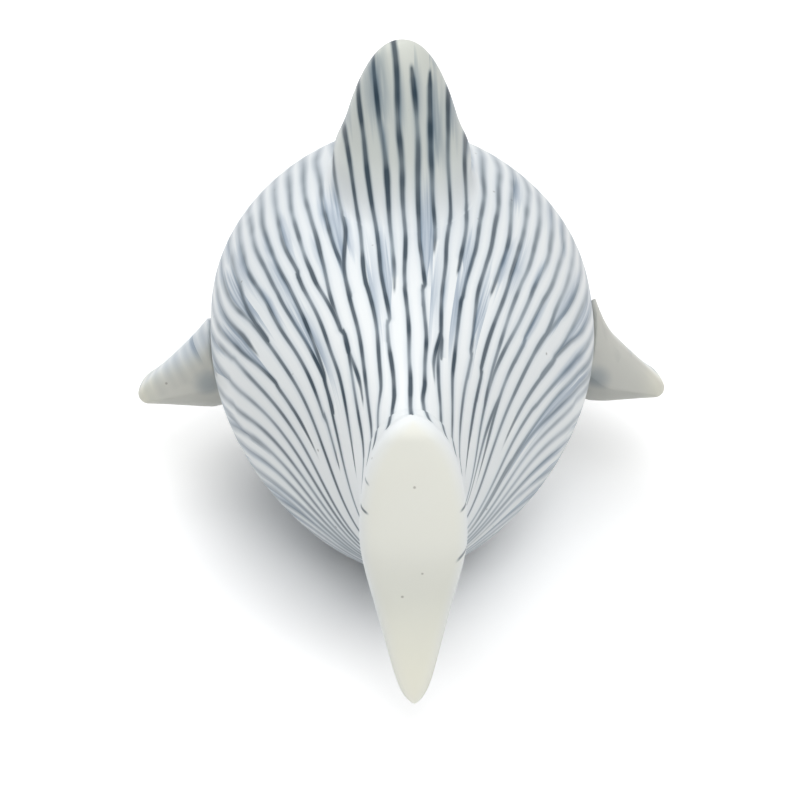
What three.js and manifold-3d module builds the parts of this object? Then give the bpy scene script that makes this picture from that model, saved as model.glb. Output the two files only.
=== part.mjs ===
// Porcelain shark figurine: a hollow slip-cast body that rests on a flat foot, with a dorsal fin, an
// upright tail and two pectoral fins luted on. Each fin sits on its own thin layer of fired slip.
// Millimetres, +Z up, snout towards +Y, origin on the foot under the body's widest section.
import * as THREE from 'three';
import { mergeVertices } from 'three/addons/utils/BufferGeometryUtils.js';
import Module from 'manifold-3d';

const wasm = await Module();
wasm.setup();

// Body: oval sections lofted along Y, from the tail stem to the snout
const HALF_WIDTH = 30;
const BACK_HEIGHT = 55.5;
const WIDEST_HEIGHT = 29;
const BELLY_SINK = 1.5; // depth of belly that is ground off to make the foot
const HEAD_LENGTH = 54; // widest section to the tip of the snout
const SNOUT_HEIGHT = 17;
const REAR_LENGTH = 58; // widest section to the end of the tail stem
const STEM_HALF_WIDTH = 7.4;
const STEM_TOP = 45.2;
const STEM_LOW = 17.5;

// Body: how long each line of the rear stays full before it falls to the stem
const WIDTH_FULLNESS = 1.5;
const BACK_FULLNESS = 1.2;
const BELLY_FULLNESS = 2.23;
const AXIS_FULLNESS = 1.5;

// Body: powers of the taper of the head, lower for a blunter line
const HEAD_WIDTH_POWER = 1.0;
const HEAD_TOP_POWER = 0.7;
const HEAD_LOW_POWER = 0.6;
const HEAD_AXIS_POWER = 2.6;
const SNOUT_BLUNTNESS = 0.4; // taken off the width's power at the tip, so that the snout ends round

// Casting: wall, the solid ends of the hollow, and the vent through the foot
const WALL = 3.2;
const SNOUT_SOLID = 10;
const STEM_SOLID = 10;
const HOLLOW_SQUARENESS = 6;
const VENT_DIAMETER = 7;
const VENT_SETBACK = 14; // from the origin towards the tail

// Luting: a layer of slip between body and fin, with a hairline clearance on both of its faces
const SLIP_THICKNESS = 0.6;
const SEAM_CLEARANCE = 0.3;

// Dorsal fin: level oval sections from the rounded tip down into the back
const DORSAL_HEIGHT = 22; // tip above the back
const DORSAL_TIP_Y = -5;
const DORSAL_HALF_THICKNESS = 10.4;
const DORSAL_FLARE = 2.2; // added to the half thickness where the fin meets the back
const DORSAL_FRONT_ROUND = 8;
const DORSAL_FRONT_REACH = 14;
const DORSAL_REAR_ROUND = 8;
const DORSAL_REAR_SWEEP = 5; // hollow sweep of the rear edge into the back
const DORSAL_ROUND_POWER = 0.42;
const DORSAL_THICKEST = 0.4; // share of the chord, from the rear edge
const DORSAL_FLARE_START = 0.6; // shares of the fin's height, down from the tip
const DORSAL_SWEEP_START = 0.3;
const DORSAL_FLARE_RUN = 0.2; // how far past that height the flare still grows

// Tail: the stem's oval swept back to a thick upright face, pointed at its lower end
const TAIL_LENGTH = 13; // stem to the middle of the trailing face
const CREST_HEIGHT = 47.3;
const CREST_ROLL = 2.2; // radius of the roll from the back over the crest to the face
const TIP_CLEARANCE = 6.5; // lowest point of the tail above the floor
const FACE_HALF_THICKNESS = 7.5;
const FACE_WIDEST_HEIGHT = 30;
const FACE_TOP_FULLNESS = 2.5; // higher for a broader crest
const FACE_TOP_LEAN = 4.5; // how far the crest lies ahead of the middle of the face
const FACE_TIP_SWEEP = 3.1; // how far the tip lies behind it
const FACE_SWEEP_POWER = 5; // higher where only the tip itself curls back
const FACE_ROUND = 2.4; // bulge of the face behind its rim
const FACE_EDGE = 0.3; // bulge left at the crest and at the tip
const FACE_SQUARENESS = 3; // 2 for an oval face, higher for a flat one with round edges
const TIP_HALF_THICKNESS = 1.7;
const TIP_TAPER_POWER = 1.34;
const TIP_SQUARENESS = 24;
const STEM_PULL = 1.1; // how strongly the sides leave the stem straight, and reach the rim
const RIM_PULL = 0.9;

// Pectoral fins: wedges with a tall blunt rear face, tapering to a thin front edge and to the tip
const PECTORAL_SPAN = 11.9; // reach beyond the body's widest section
const PECTORAL_REAR_Y = -6;
const PECTORAL_ROOT_FRONT_Y = 18;
const PECTORAL_TIP_FRONT_Y = 4;
const PECTORAL_FRONT_FAIRING = 5; // how far the front edge runs on as it curves into the body
const PECTORAL_ROOT_TOP = 31;
const PECTORAL_TIP_TOP = 18;
const PECTORAL_ROOT_LOW = 11.5;
const PECTORAL_TIP_LOW = 15.6;
const PECTORAL_TIP_ROUND = 1.7; // length of the rounding at the tip
const PECTORAL_BASE_RISE = 0.1; // share of the height by which the base lifts towards the front edge
const PECTORAL_HEEL_RISE = 0.3; // and by which it curves up to the rear face
const PECTORAL_HEEL_SHARPNESS = 8;
const PECTORAL_REAR_SQUARENESS = 14;
const PECTORAL_FALL_POWER = 1.3;
const PECTORAL_EDGE_POWER = 0.75;
const PECTORAL_AXIS_FORWARD = 0.35; // where the tip closes, as shares of the chord and height
const PECTORAL_AXIS_UP = 0.45;

// Resolution of the lofts
const BODY_SIDES = 72;
const BODY_STATIONS = 17; // along the head, and again along the rear
const HOLLOW_SIDES = 32;
const HOLLOW_STATIONS = 20;
const FIN_SIDES = 40;
const DORSAL_LEVELS = 16;
const TAIL_STATIONS = 8;
const FACE_STEPS = 7;
const PECTORAL_STATIONS = 8;
const TIP_STEPS = 4;
const TIP_CROWDING = 1.6; // draws the dorsal fin's levels together near its tip

// Worked out from the sizes above
const SEAM = SLIP_THICKNESS + 2 * SEAM_CLEARANCE;
const TAIL_FACE_Y = -REAR_LENGTH - TAIL_LENGTH;
const FACE_HEIGHT = CREST_HEIGHT - TIP_CLEARANCE;
const PECTORAL_ROUND_FROM = 1 - PECTORAL_TIP_ROUND / PECTORAL_SPAN;
const FACE_WIDEST = (CREST_HEIGHT - FACE_WIDEST_HEIGHT) / FACE_HEIGHT;

const glaze = (color, roughness) => new THREE.MeshStandardMaterial({ color, roughness, metalness: 0 });

// Whole numbers from 0 to count, as shares of count
const shares = (count) => Array.from({ length: count + 1 }, (_, i) => i / count);

// Angles of a ring, once round without repeating the first
const ringAngles = (sides) => Array.from({ length: sides }, (_, j) => (2 * Math.PI * j) / sides);

// Falls from 1 to 0 along half a cosine; a higher fullness keeps it high for longer
const cosineFall = (share, fullness) => 0.5 * (1 + Math.cos(Math.PI * share ** fullness));

// Half width, top, bottom and widest height of the body's section at one place along Y
function bodySection(y) {
  if (y < 0) {
    const share = Math.min(-y / REAR_LENGTH, 1);
    const towards = (stem, full, fullness) => stem + (full - stem) * cosineFall(share, fullness);
    return {
      half: towards(STEM_HALF_WIDTH, HALF_WIDTH, WIDTH_FULLNESS),
      top: towards(STEM_TOP, BACK_HEIGHT, BACK_FULLNESS),
      low: towards(STEM_LOW, -BELLY_SINK, BELLY_FULLNESS),
      middle: towards((STEM_TOP + STEM_LOW) / 2, WIDEST_HEIGHT, AXIS_FULLNESS),
    };
  }
  const share = Math.min(y / HEAD_LENGTH, 1);
  const taper = (power) => (1 - share ** 2) ** power;
  return {
    half: HALF_WIDTH * taper(HEAD_WIDTH_POWER - SNOUT_BLUNTNESS * share ** 4),
    top: SNOUT_HEIGHT + (BACK_HEIGHT - SNOUT_HEIGHT) * taper(HEAD_TOP_POWER),
    low: SNOUT_HEIGHT - (SNOUT_HEIGHT + BELLY_SINK) * taper(HEAD_LOW_POWER),
    middle: SNOUT_HEIGHT + (WIDEST_HEIGHT - SNOUT_HEIGHT) * taper(HEAD_AXIS_POWER),
  };
}

// Point on an oval section; the angle runs from the top of the back round by +X
function sectionPoint({ half, top, low, middle }, y, angle) {
  const rise = Math.cos(angle);
  const z = middle + rise * (rise > 0 ? top - middle : middle - low);
  return new THREE.Vector3(half * Math.sin(angle), y, z);
}

const bodyPoint = (y, angle) => sectionPoint(bodySection(y), y, angle);

// Outward normal of the body, from two short steps over its surface
function bodyNormal(y, angle) {
  const step = 1e-3;
  const along = bodyPoint(y + step, angle).sub(bodyPoint(y - step, angle));
  const around = bodyPoint(y, angle + step).sub(bodyPoint(y, angle - step));
  return around.cross(along).normalize();
}

// Closed solid from a stack of rings with equally many points. A ring of one point is a pole, a plain
// end is capped by a fan, and with folded ends the last ring's two halves lie on one line and are joined.
function loft(rings, folded = false) {
  const points = [];
  const add = (point) => points.push(point) - 1;
  const sides = Math.max(...rings.map((ring) => ring.length));
  const rows = rings.map((ring, k) => {
    const joined = folded && k === rings.length - 1;
    const kept = joined ? ring.slice(0, sides / 2 + 1) : ring;
    const ids = kept.map(add);
    return Array.from({ length: sides }, (_, j) => (
      joined ? ids[Math.min(j, sides - j)] : ids[j % ids.length]
    ));
  });
  const triangles = [];
  const addTriangle = (a, b, c) => {
    if (a !== b && b !== c && c !== a) triangles.push(a, b, c);
  };
  for (let k = 0; k + 1 < rows.length; k += 1) {
    for (let j = 0; j < sides; j += 1) {
      const next = (j + 1) % sides;
      addTriangle(rows[k][j], rows[k][next], rows[k + 1][next]);
      addTriangle(rows[k][j], rows[k + 1][next], rows[k + 1][j]);
    }
  }
  const cap = (row, ring, turned) => {
    const middle = new THREE.Vector3();
    ring.forEach((point) => middle.addScaledVector(point, 1 / ring.length));
    const hub = add(middle);
    row.forEach((id, j) => {
      const next = row[(j + 1) % sides];
      addTriangle(hub, turned ? id : next, turned ? next : id);
    });
  };
  if (rings[0].length > 1) cap(rows[0], rings[0], false);
  const last = rings.length - 1;
  if (rings[last].length > 1 && !folded) cap(rows[last], rings[last], true);
  return solidFrom(points, triangles);
}

// Solid from points and triangles, turned to face outwards
function solidFrom(points, triangles) {
  let volume = 0;
  for (let i = 0; i < triangles.length; i += 3) {
    const [a, b, c] = triangles.slice(i, i + 3).map((id) => points[id]);
    volume += a.dot(b.clone().cross(c));
  }
  const turned = volume < 0 ? triangles.toReversed() : triangles;
  return new wasm.Manifold(new wasm.Mesh({
    numProp: 3,
    vertProperties: new Float32Array(points.flatMap((point) => point.toArray())),
    triVerts: new Uint32Array(turned),
  }));
}

// Solid from one of the library's indexed shapes, with its repeated corners merged
function solidFromShape(geometry) {
  geometry.deleteAttribute('normal');
  geometry.deleteAttribute('uv');
  const merged = mergeVertices(geometry);
  const position = merged.getAttribute('position');
  const points = Array.from({ length: position.count }, (_, i) => (
    new THREE.Vector3().fromBufferAttribute(position, i)
  ));
  return solidFrom(points, Array.from(merged.getIndex().array));
}

function meshFrom(name, solid, material) {
  const { numProp, vertProperties, triVerts } = solid.getMesh();
  const position = new Float32Array((vertProperties.length / numProp) * 3);
  for (let i = 0; i * 3 < position.length; i += 1) {
    position.set(vertProperties.subarray(i * numProp, i * numProp + 3), i * 3);
  }
  const geometry = new THREE.BufferGeometry();
  geometry.setAttribute('position', new THREE.BufferAttribute(position, 3));
  geometry.setIndex(new THREE.BufferAttribute(triVerts, 1));
  geometry.computeVertexNormals();
  const mesh = new THREE.Mesh(geometry, material);
  mesh.name = name;
  return mesh;
}

// The body's outer form, grown evenly by some distance; the fins and their slip are fitted to it
function bodyForm(growth) {
  const angles = ringAngles(BODY_SIDES);
  const head = shares(BODY_STATIONS).slice(1).map((s) => HEAD_LENGTH * Math.cos((s * Math.PI) / 2));
  const rear = shares(BODY_STATIONS).slice(1).map((s) => -REAR_LENGTH * s);
  const ring = (y) => angles.map((angle) => (
    bodyPoint(y, angle).addScaledVector(bodyNormal(y, angle), growth)
  ));
  const snout = new THREE.Vector3(0, HEAD_LENGTH + growth, SNOUT_HEIGHT);
  return loft([[snout], ...head.map(ring), ...rear.map(ring)]);
}

// The space inside the wall: the body's sections less the wall, rounded off before the snout and stem
function hollowForm() {
  const front = HEAD_LENGTH - SNOUT_SOLID;
  const back = -REAR_LENGTH + STEM_SOLID;
  const centre = (front + back) / 2;
  const reach = (front - back) / 2;
  const angles = ringAngles(HOLLOW_SIDES);
  const rings = shares(HOLLOW_STATIONS).slice(1, -1).map((share) => {
    const along = Math.cos(share * Math.PI);
    const y = centre + reach * along;
    const outer = bodySection(y);
    const close = Math.sqrt(1 - Math.abs(along) ** HOLLOW_SQUARENESS);
    const shrink = (value) => outer.middle + (value - outer.middle) * close;
    const inner = {
      half: (outer.half - WALL) * close,
      top: shrink(outer.top - WALL),
      low: shrink(Math.max(outer.low, 0) + WALL),
      middle: outer.middle,
    };
    return angles.map((angle) => sectionPoint(inner, y, angle));
  });
  const end = (y) => [new THREE.Vector3(0, y, bodySection(y).middle)];
  return loft([end(front), ...rings, end(back)]);
}

// Everything under the floor, which is ground off the belly
function groundOff() {
  const depth = 2 * BELLY_SINK + WALL;
  const block = new THREE.BoxGeometry(4 * HALF_WIDTH, 4 * REAR_LENGTH, depth);
  return solidFromShape(block.translate(0, 0, -depth / 2));
}

function ventForm() {
  const depth = 3 * WALL;
  const bore = new THREE.CylinderGeometry(VENT_DIAMETER / 2, VENT_DIAMETER / 2, depth, HOLLOW_SIDES);
  return solidFromShape(bore.rotateX(Math.PI / 2).translate(0, -VENT_SETBACK, 0));
}

function bodyShell() {
  return bodyForm(0).subtract(hollowForm()).subtract(ventForm()).subtract(groundOff());
}

// Level sections of the dorsal fin; drop is measured down from the tip as a share of the fin's height.
// The lowest lies inside the body, halfway from the back to the widest place.
function dorsalForm() {
  const tipHeight = BACK_HEIGHT + DORSAL_HEIGHT;
  const deepest = 1 + (BACK_HEIGHT - WIDEST_HEIGHT) / 2 / DORSAL_HEIGHT;
  const past = (drop, start) => (
    (Math.max(Math.min(drop, 1 + DORSAL_FLARE_RUN) - start, 0) / (1 - start)) ** 2
  );
  const rings = shares(DORSAL_LEVELS).slice(1).map((share) => {
    const drop = deepest * share ** TIP_CROWDING;
    const round = drop ** DORSAL_ROUND_POWER;
    const half = DORSAL_HALF_THICKNESS * round + DORSAL_FLARE * past(drop, DORSAL_FLARE_START);
    const front = DORSAL_TIP_Y + DORSAL_FRONT_ROUND * round + DORSAL_FRONT_REACH * drop;
    const sweep = DORSAL_REAR_SWEEP * past(drop, DORSAL_SWEEP_START);
    const rear = DORSAL_TIP_Y - DORSAL_REAR_ROUND * round - sweep;
    const middle = rear + DORSAL_THICKEST * (front - rear);
    return ringAngles(FIN_SIDES).map((angle) => {
      const ahead = Math.cos(angle);
      const y = middle + ahead * (ahead > 0 ? front - middle : middle - rear);
      return new THREE.Vector3(half * Math.sin(angle), y, tipHeight - DORSAL_HEIGHT * drop);
    });
  });
  return loft([[new THREE.Vector3(0, DORSAL_TIP_Y, tipHeight)], ...rings]);
}

// Half thickness of the tail's face; down runs from 0 at the crest to 1 at the lower tip
function faceHalf(down) {
  if (down < FACE_WIDEST) {
    return FACE_HALF_THICKNESS * Math.sqrt(1 - (1 - down / FACE_WIDEST) ** FACE_TOP_FULLNESS);
  }
  const below = (down - FACE_WIDEST) / (1 - FACE_WIDEST);
  const taper = FACE_HALF_THICKNESS - (FACE_HALF_THICKNESS - TIP_HALF_THICKNESS) * below ** TIP_TAPER_POWER;
  return taper * Math.sqrt(Math.max(1 - below ** TIP_SQUARENESS, 0));
}

// One point of the tail's face: out is 0 on the rim and 1 on the ridge line down its middle
function facePoint(angle, out) {
  const down = (1 - Math.cos(angle)) / 2;
  const half = faceHalf(down);
  const bulge = FACE_EDGE + FACE_ROUND * Math.sqrt(half / FACE_HALF_THICKNESS);
  const quarter = (out * Math.PI) / 2;
  const flatness = 2 / FACE_SQUARENESS;
  const above = Math.max(1 - (down * FACE_HEIGHT) / CREST_ROLL, 0);
  const roll = CREST_ROLL * (1 - Math.sqrt(1 - above ** 2));
  const sweep = FACE_TIP_SWEEP * down ** FACE_SWEEP_POWER;
  const lean = FACE_TOP_LEAN * (1 - down) ** 3 + roll - sweep;
  return new THREE.Vector3(
    Math.sign(Math.PI - angle) * half * Math.cos(quarter) ** flatness,
    TAIL_FACE_Y + lean + bulge * (1 - Math.sin(quarter) ** flatness),
    CREST_HEIGHT - FACE_HEIGHT * down,
  );
}

// Smooth path that leaves a point of the stem straight back and reaches the rim, level at the crest and
// more and more along its own fall towards the lower tip
function sweepPoint(start, end, share) {
  const length = start.y - end.y;
  const fall = ((end.z - start.z) * (CREST_HEIGHT - end.z)) / FACE_HEIGHT;
  const leave = new THREE.Vector3(0, -STEM_PULL * length, 0);
  const arrive = new THREE.Vector3(0, -length, fall).multiplyScalar(RIM_PULL);
  const [s2, s3] = [share ** 2, share ** 3];
  return new THREE.Vector3()
    .addScaledVector(start, 2 * s3 - 3 * s2 + 1)
    .addScaledVector(leave, s3 - 2 * s2 + share)
    .addScaledVector(end, 3 * s2 - 2 * s3)
    .addScaledVector(arrive, s3 - s2);
}

function tailFin() {
  const angles = ringAngles(BODY_SIDES);
  const seamY = -REAR_LENGTH - SEAM;
  const stem = bodySection(-REAR_LENGTH);
  const sides = shares(TAIL_STATIONS).map((share) => angles.map((angle) => (
    sweepPoint(sectionPoint(stem, seamY, angle), facePoint(angle, 0), share)
  )));
  const face = shares(FACE_STEPS).slice(1).map((out) => angles.map((angle) => facePoint(angle, out)));
  return loft([...sides, ...face], true);
}

function tailSlip() {
  const stem = bodySection(-REAR_LENGTH);
  const near = -REAR_LENGTH - SEAM_CLEARANCE;
  const ring = (y) => ringAngles(BODY_SIDES).map((angle) => sectionPoint(stem, y, angle));
  return loft([ring(near), ring(near - SLIP_THICKNESS)]);
}

// One section of a pectoral fin. out is 0 at the body's widest section and 1 at the fin's tip; the
// ring runs forward along the top, which falls to the front edge, and back along the nearly flat base.
function pectoralRing(side, out) {
  const beyond = Math.max(out, 0);
  const inside = Math.min(out, 0);
  const top = PECTORAL_ROOT_TOP + (PECTORAL_TIP_TOP - PECTORAL_ROOT_TOP) * beyond;
  const low = PECTORAL_ROOT_LOW + (PECTORAL_TIP_LOW - PECTORAL_ROOT_LOW) * beyond;
  const height = top - low;
  const sweep = PECTORAL_ROOT_FRONT_Y - PECTORAL_TIP_FRONT_Y;
  const fairing = PECTORAL_FRONT_FAIRING * (1 - Math.exp((inside * sweep) / PECTORAL_FRONT_FAIRING));
  const front = PECTORAL_ROOT_FRONT_Y - sweep * beyond + fairing;
  const rounded = Math.max(out - PECTORAL_ROUND_FROM, 0) / (1 - PECTORAL_ROUND_FROM);
  const close = Math.sqrt(Math.max(1 - rounded ** 2, 0));
  const axisY = PECTORAL_REAR_Y + PECTORAL_AXIS_FORWARD * (front - PECTORAL_REAR_Y);
  const axisZ = low + PECTORAL_AXIS_UP * height;
  return ringAngles(FIN_SIDES).map((angle) => {
    const ahead = (1 - Math.cos(angle)) / 2;
    const lift = PECTORAL_BASE_RISE * ahead + PECTORAL_HEEL_RISE * (1 - ahead) ** PECTORAL_HEEL_SHARPNESS;
    const base = low + height * lift;
    const fall = (1 - ahead ** PECTORAL_FALL_POWER) ** PECTORAL_EDGE_POWER;
    const heel = Math.sqrt(1 - (1 - ahead) ** PECTORAL_REAR_SQUARENESS);
    const y = PECTORAL_REAR_Y + (front - PECTORAL_REAR_Y) * ahead;
    const z = angle < Math.PI ? base + (top - base) * fall * heel : base;
    return new THREE.Vector3(
      side * (HALF_WIDTH + PECTORAL_SPAN * out),
      axisY + (y - axisY) * close,
      axisZ + (z - axisZ) * close,
    );
  });
}

// A pectoral fin before it is cut to its seat; it runs as far into the body as it stands out of it
function pectoralForm(side) {
  const innermost = -1;
  const straight = shares(PECTORAL_STATIONS).map((s) => innermost + (PECTORAL_ROUND_FROM - innermost) * s);
  const rounded = shares(TIP_STEPS).slice(1, -1).map((s) => (
    PECTORAL_ROUND_FROM + (1 - PECTORAL_ROUND_FROM) * Math.sin((s * Math.PI) / 2)
  ));
  const [tip] = pectoralRing(side, 1);
  return loft([...[...straight, ...rounded].map((out) => pectoralRing(side, out)), [tip]]);
}

const slipInside = bodyForm(SEAM_CLEARANCE);
const slipOutside = bodyForm(SEAM_CLEARANCE + SLIP_THICKNESS);
const finSeat = bodyForm(SEAM);

// A fin cut to sit on the body, and the layer of slip that fills its seat
const seated = (form) => form.subtract(finSeat);
const slipUnder = (form) => form.intersect(slipOutside).subtract(slipInside);

const PORCELAIN = 0xe9eeee;
const CREAM = 0xeceade;
const SLIP = 0xe2e0d6;

const shark = new THREE.Group();
shark.add(meshFrom('body_shell', bodyShell(), glaze(PORCELAIN, 0.32)));
shark.add(meshFrom('tail_fin', tailFin(), glaze(CREAM, 0.36)));
shark.add(meshFrom('tail_slip_joint', tailSlip(), glaze(SLIP, 0.45)));
const dorsal = dorsalForm();
shark.add(meshFrom('dorsal_fin', seated(dorsal), glaze(PORCELAIN, 0.34)));
shark.add(meshFrom('dorsal_slip_joint', slipUnder(dorsal), glaze(SLIP, 0.45)));
for (const [name, side] of [['left', -1], ['right', 1]]) {
  const pectoral = pectoralForm(side);
  shark.add(meshFrom(`${name}_pectoral_fin`, seated(pectoral), glaze(CREAM, 0.36)));
  shark.add(meshFrom(`${name}_pectoral_slip_joint`, slipUnder(pectoral), glaze(SLIP, 0.45)));
}

export default shark;
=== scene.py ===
"""Looks of the porcelain shark figurine: smooth cast forms, brush-painted lines and a plain studio.

Metres, +Z up, snout towards +Y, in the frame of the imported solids. Every form is a sheet, a grid of
points worked out from two parameters. Each sheet also carries where the painter's lines run over it,
and the glaze draws the lines from that.
"""
import logging
import math
from collections.abc import Callable, Sequence
from dataclasses import dataclass
from enum import Enum
from typing import ClassVar

import bmesh
import bpy
import numpy as np
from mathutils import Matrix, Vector
from numpy.typing import NDArray


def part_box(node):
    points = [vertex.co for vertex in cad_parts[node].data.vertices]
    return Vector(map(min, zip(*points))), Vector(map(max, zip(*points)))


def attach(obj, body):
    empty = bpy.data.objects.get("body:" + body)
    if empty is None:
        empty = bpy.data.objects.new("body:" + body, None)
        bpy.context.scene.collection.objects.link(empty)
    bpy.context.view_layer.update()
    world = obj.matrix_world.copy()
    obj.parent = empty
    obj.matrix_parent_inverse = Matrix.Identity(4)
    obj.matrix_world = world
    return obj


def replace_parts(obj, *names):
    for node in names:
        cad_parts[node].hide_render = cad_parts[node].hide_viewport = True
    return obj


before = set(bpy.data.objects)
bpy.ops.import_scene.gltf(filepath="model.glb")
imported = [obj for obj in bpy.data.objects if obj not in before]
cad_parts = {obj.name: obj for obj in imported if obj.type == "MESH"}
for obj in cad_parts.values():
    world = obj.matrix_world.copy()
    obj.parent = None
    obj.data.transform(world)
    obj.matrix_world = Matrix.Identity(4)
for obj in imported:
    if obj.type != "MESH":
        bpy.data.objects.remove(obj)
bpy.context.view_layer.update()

Array = NDArray[np.float64]
Pair = tuple[float, float]
Triple = tuple[float, float, float]
Colour = tuple[float, float, float, float]
MM = 0.001
TINY = 1e-12
STEP = 1e-4
LOG = logging.getLogger("shark")


class Slot(Enum):
    """The record's material slots that the pieces take their finish from."""

    PAINTED = "painted_porcelain"
    CREAM = "cream_porcelain"


class Side(Enum):
    """Which side of the body a pectoral fin is on, as the sign of X."""

    LEFT = -1
    RIGHT = 1


def ease(value: Array, start: float, end: float) -> Array:
    """Smooth step from 0 at start to 1 at end; start may lie above end."""
    share = np.clip((value - start) / (end - start), 0.0, 1.0)
    return share * share * (3.0 - 2.0 * share)


def unit(vectors: Array) -> Array:
    """Vectors scaled to length 1."""
    return vectors / np.maximum(np.linalg.norm(vectors, axis=-1, keepdims=True), TINY)


def stacked(*parts: Array | float) -> Array:
    """Arrays and numbers of one shape, put together as the last axis."""
    return np.stack(np.broadcast_arrays(*parts), axis=-1).astype(float)


def lengths(points: Array, axis: int) -> Array:
    """Distance travelled over a grid of points.

    Args:
        points: the grid.
        axis: the axis to travel along, 0 down the rows or 1 across the columns.

    Returns:
        The distance at each point, starting from 0.
    """
    steps = np.linalg.norm(np.diff(points, axis=axis), axis=-1)
    start = np.zeros_like(np.take(steps, [0], axis=axis))
    return np.concatenate([start, np.cumsum(steps, axis=axis)], axis=axis)


def cubic(share: Array, start: Array, leave: Array, end: Array, arrive: Array) -> Array:
    """Smooth curve between two points: the cubic with the given directions at both ends.

    Args:
        share: share of the way, from 0 to 1.
        start: first point.
        leave: direction at the first point, as long as its pull.
        end: last point.
        arrive: direction at the last point, as long as its pull.

    Returns:
        Points of the curve.
    """
    square, cube = share**2, share**3
    return (
        start * (2 * cube - 3 * square + 1)
        + leave * (cube - 2 * square + share)
        + end * (3 * square - 2 * cube)
        + arrive * (cube - square)
    )


def bisect(height: Callable[[Array], Array], low: Array, high: Array, steps: int = 40) -> Array:
    """Where a height falls to 0 between two parameters, halving the range for all columns at once.

    Args:
        height: function of the parameter, above 0 at low and below 0 at high.
        low: start of the range, one for each column.
        high: end of the range.
        steps: number of halvings.

    Returns:
        The parameter of each column.
    """
    for _ in range(steps):
        middle = (low + high) / 2
        above = height(middle) > 0
        low, high = np.where(above, middle, low), np.where(above, high, middle)
    return (low + high) / 2


@dataclass
class Sheet:
    """A grid of points with what the painter does on it.

    Attributes:
        points: rows x columns x 3, in metres.
        brush: number of the rear line, gap between rear lines, and distance along them.
        glaze: share bare of paint, share thin enough for a painted glow, and distance past the last edge.
        least_gap: the smallest gap that counts.
        most_gap: the largest gap that counts.
    """

    points: Array
    brush: Array
    glaze: Array
    least_gap: ClassVar[float] = 0.3 * MM
    most_gap: ClassVar[float] = 6 * MM

    @classmethod
    def painted(cls, points: Array, number: Array, along: Array, glaze: Array) -> "Sheet":
        """A sheet whose gap is the distance on the surface from one whole line number to the next.

        Args:
            points: the grid.
            number: line number at each point.
            along: distance along the lines.
            glaze: the glaze values.

        Returns:
            The sheet. The gap is 1 over the number's gradient, by the lengths of the grid's own steps.
        """
        down, across = np.gradient(points, axis=0), np.gradient(points, axis=1)
        fall, turn = np.gradient(number, axis=0), np.gradient(number, axis=1)
        e, f, g = (np.sum(u * v, axis=-1) for u, v in ((down, down), (down, across), (across, across)))
        area = np.maximum(e * g - f * f, TINY**2)
        square = np.maximum(g * fall**2 - 2 * f * fall * turn + e * turn**2, TINY**2) / area
        gap = np.clip(1 / np.sqrt(square), cls.least_gap, cls.most_gap)
        return cls(points, stacked(number, gap, along), glaze)


@dataclass(frozen=True)
class Kiln:
    """Turns sheets into finished pieces."""

    weld: float = 0.001 * MM
    crease: float = math.radians(48)

    def fire(self, name: str, sheets: list[Sheet]) -> bpy.types.Object:
        """Joins sheets into one closed mesh.

        The corners of each grid cell make a face; points that coincide, along seams, at poles and
        where sheets meet, are welded afterwards.

        Args:
            name: the piece's name.
            sheets: grids that together enclose the piece.

        Returns:
            The new object, at the origin, with its brush attributes on the face corners.
        """
        faces, start = [], 0
        for sheet in sheets:
            rows, columns = sheet.points.shape[:2]
            ids = start + np.arange(rows * columns).reshape(rows, columns)
            corners = (ids[:-1, :-1], ids[:-1, 1:], ids[1:, 1:], ids[1:, :-1])
            faces.append(np.stack(corners, axis=-1).reshape(-1, 4))
            start += rows * columns
        quads = np.concatenate(faces)
        points = np.concatenate([sheet.points.reshape(-1, 3) for sheet in sheets])
        mesh = bpy.data.meshes.new(name)
        mesh.from_pydata(points.tolist(), [], quads.tolist())
        for layer in ("brush", "glaze"):
            values = np.concatenate([getattr(sheet, layer).reshape(-1, 3) for sheet in sheets])
            attribute = mesh.attributes.new(layer, "FLOAT_VECTOR", "CORNER")
            attribute.data.foreach_set("vector", values[quads.ravel()].astype(np.float32).ravel())
        self._close(mesh)
        piece = bpy.data.objects.new(name, mesh)
        bpy.context.scene.collection.objects.link(piece)
        return piece

    def _close(self, mesh: bpy.types.Mesh) -> None:
        """Welds the seams, turns the faces outwards and shades all but sharp edges smooth.

        Args:
            mesh: the mesh, changed in place.
        """
        work = bmesh.new()
        work.from_mesh(mesh)
        bmesh.ops.remove_doubles(work, verts=work.verts, dist=self.weld)
        bmesh.ops.recalc_face_normals(work, faces=work.faces)
        work.to_mesh(mesh)
        work.free()
        mesh.shade_smooth()
        mesh.set_sharp_from_angle(angle=self.crease)
        mesh.update()


@dataclass(frozen=True)
class Lines:
    """How the painter spaces the lines: one set over the front, a sparser one down to the tail."""

    front_count: int = 76
    rear_count: int = 48
    narrow_share: float = 0.813
    spread_power: float = 0.4
    front_spread: float = 4.0
    front_spread_from: float = -24 * MM
    front_spread_to: float = 16 * MM
    fin_spacing: float = 3.6 * MM
    side_thinning: float = 0.16
    stem_thinning: float = 0.6
    side_from: float = math.radians(58)
    side_blend: float = math.radians(14)
    stem_narrowing: float = 1.2

    @property
    def ratio(self) -> float:
        """Rear lines for each front line."""
        return self.rear_count / self.front_count


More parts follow.
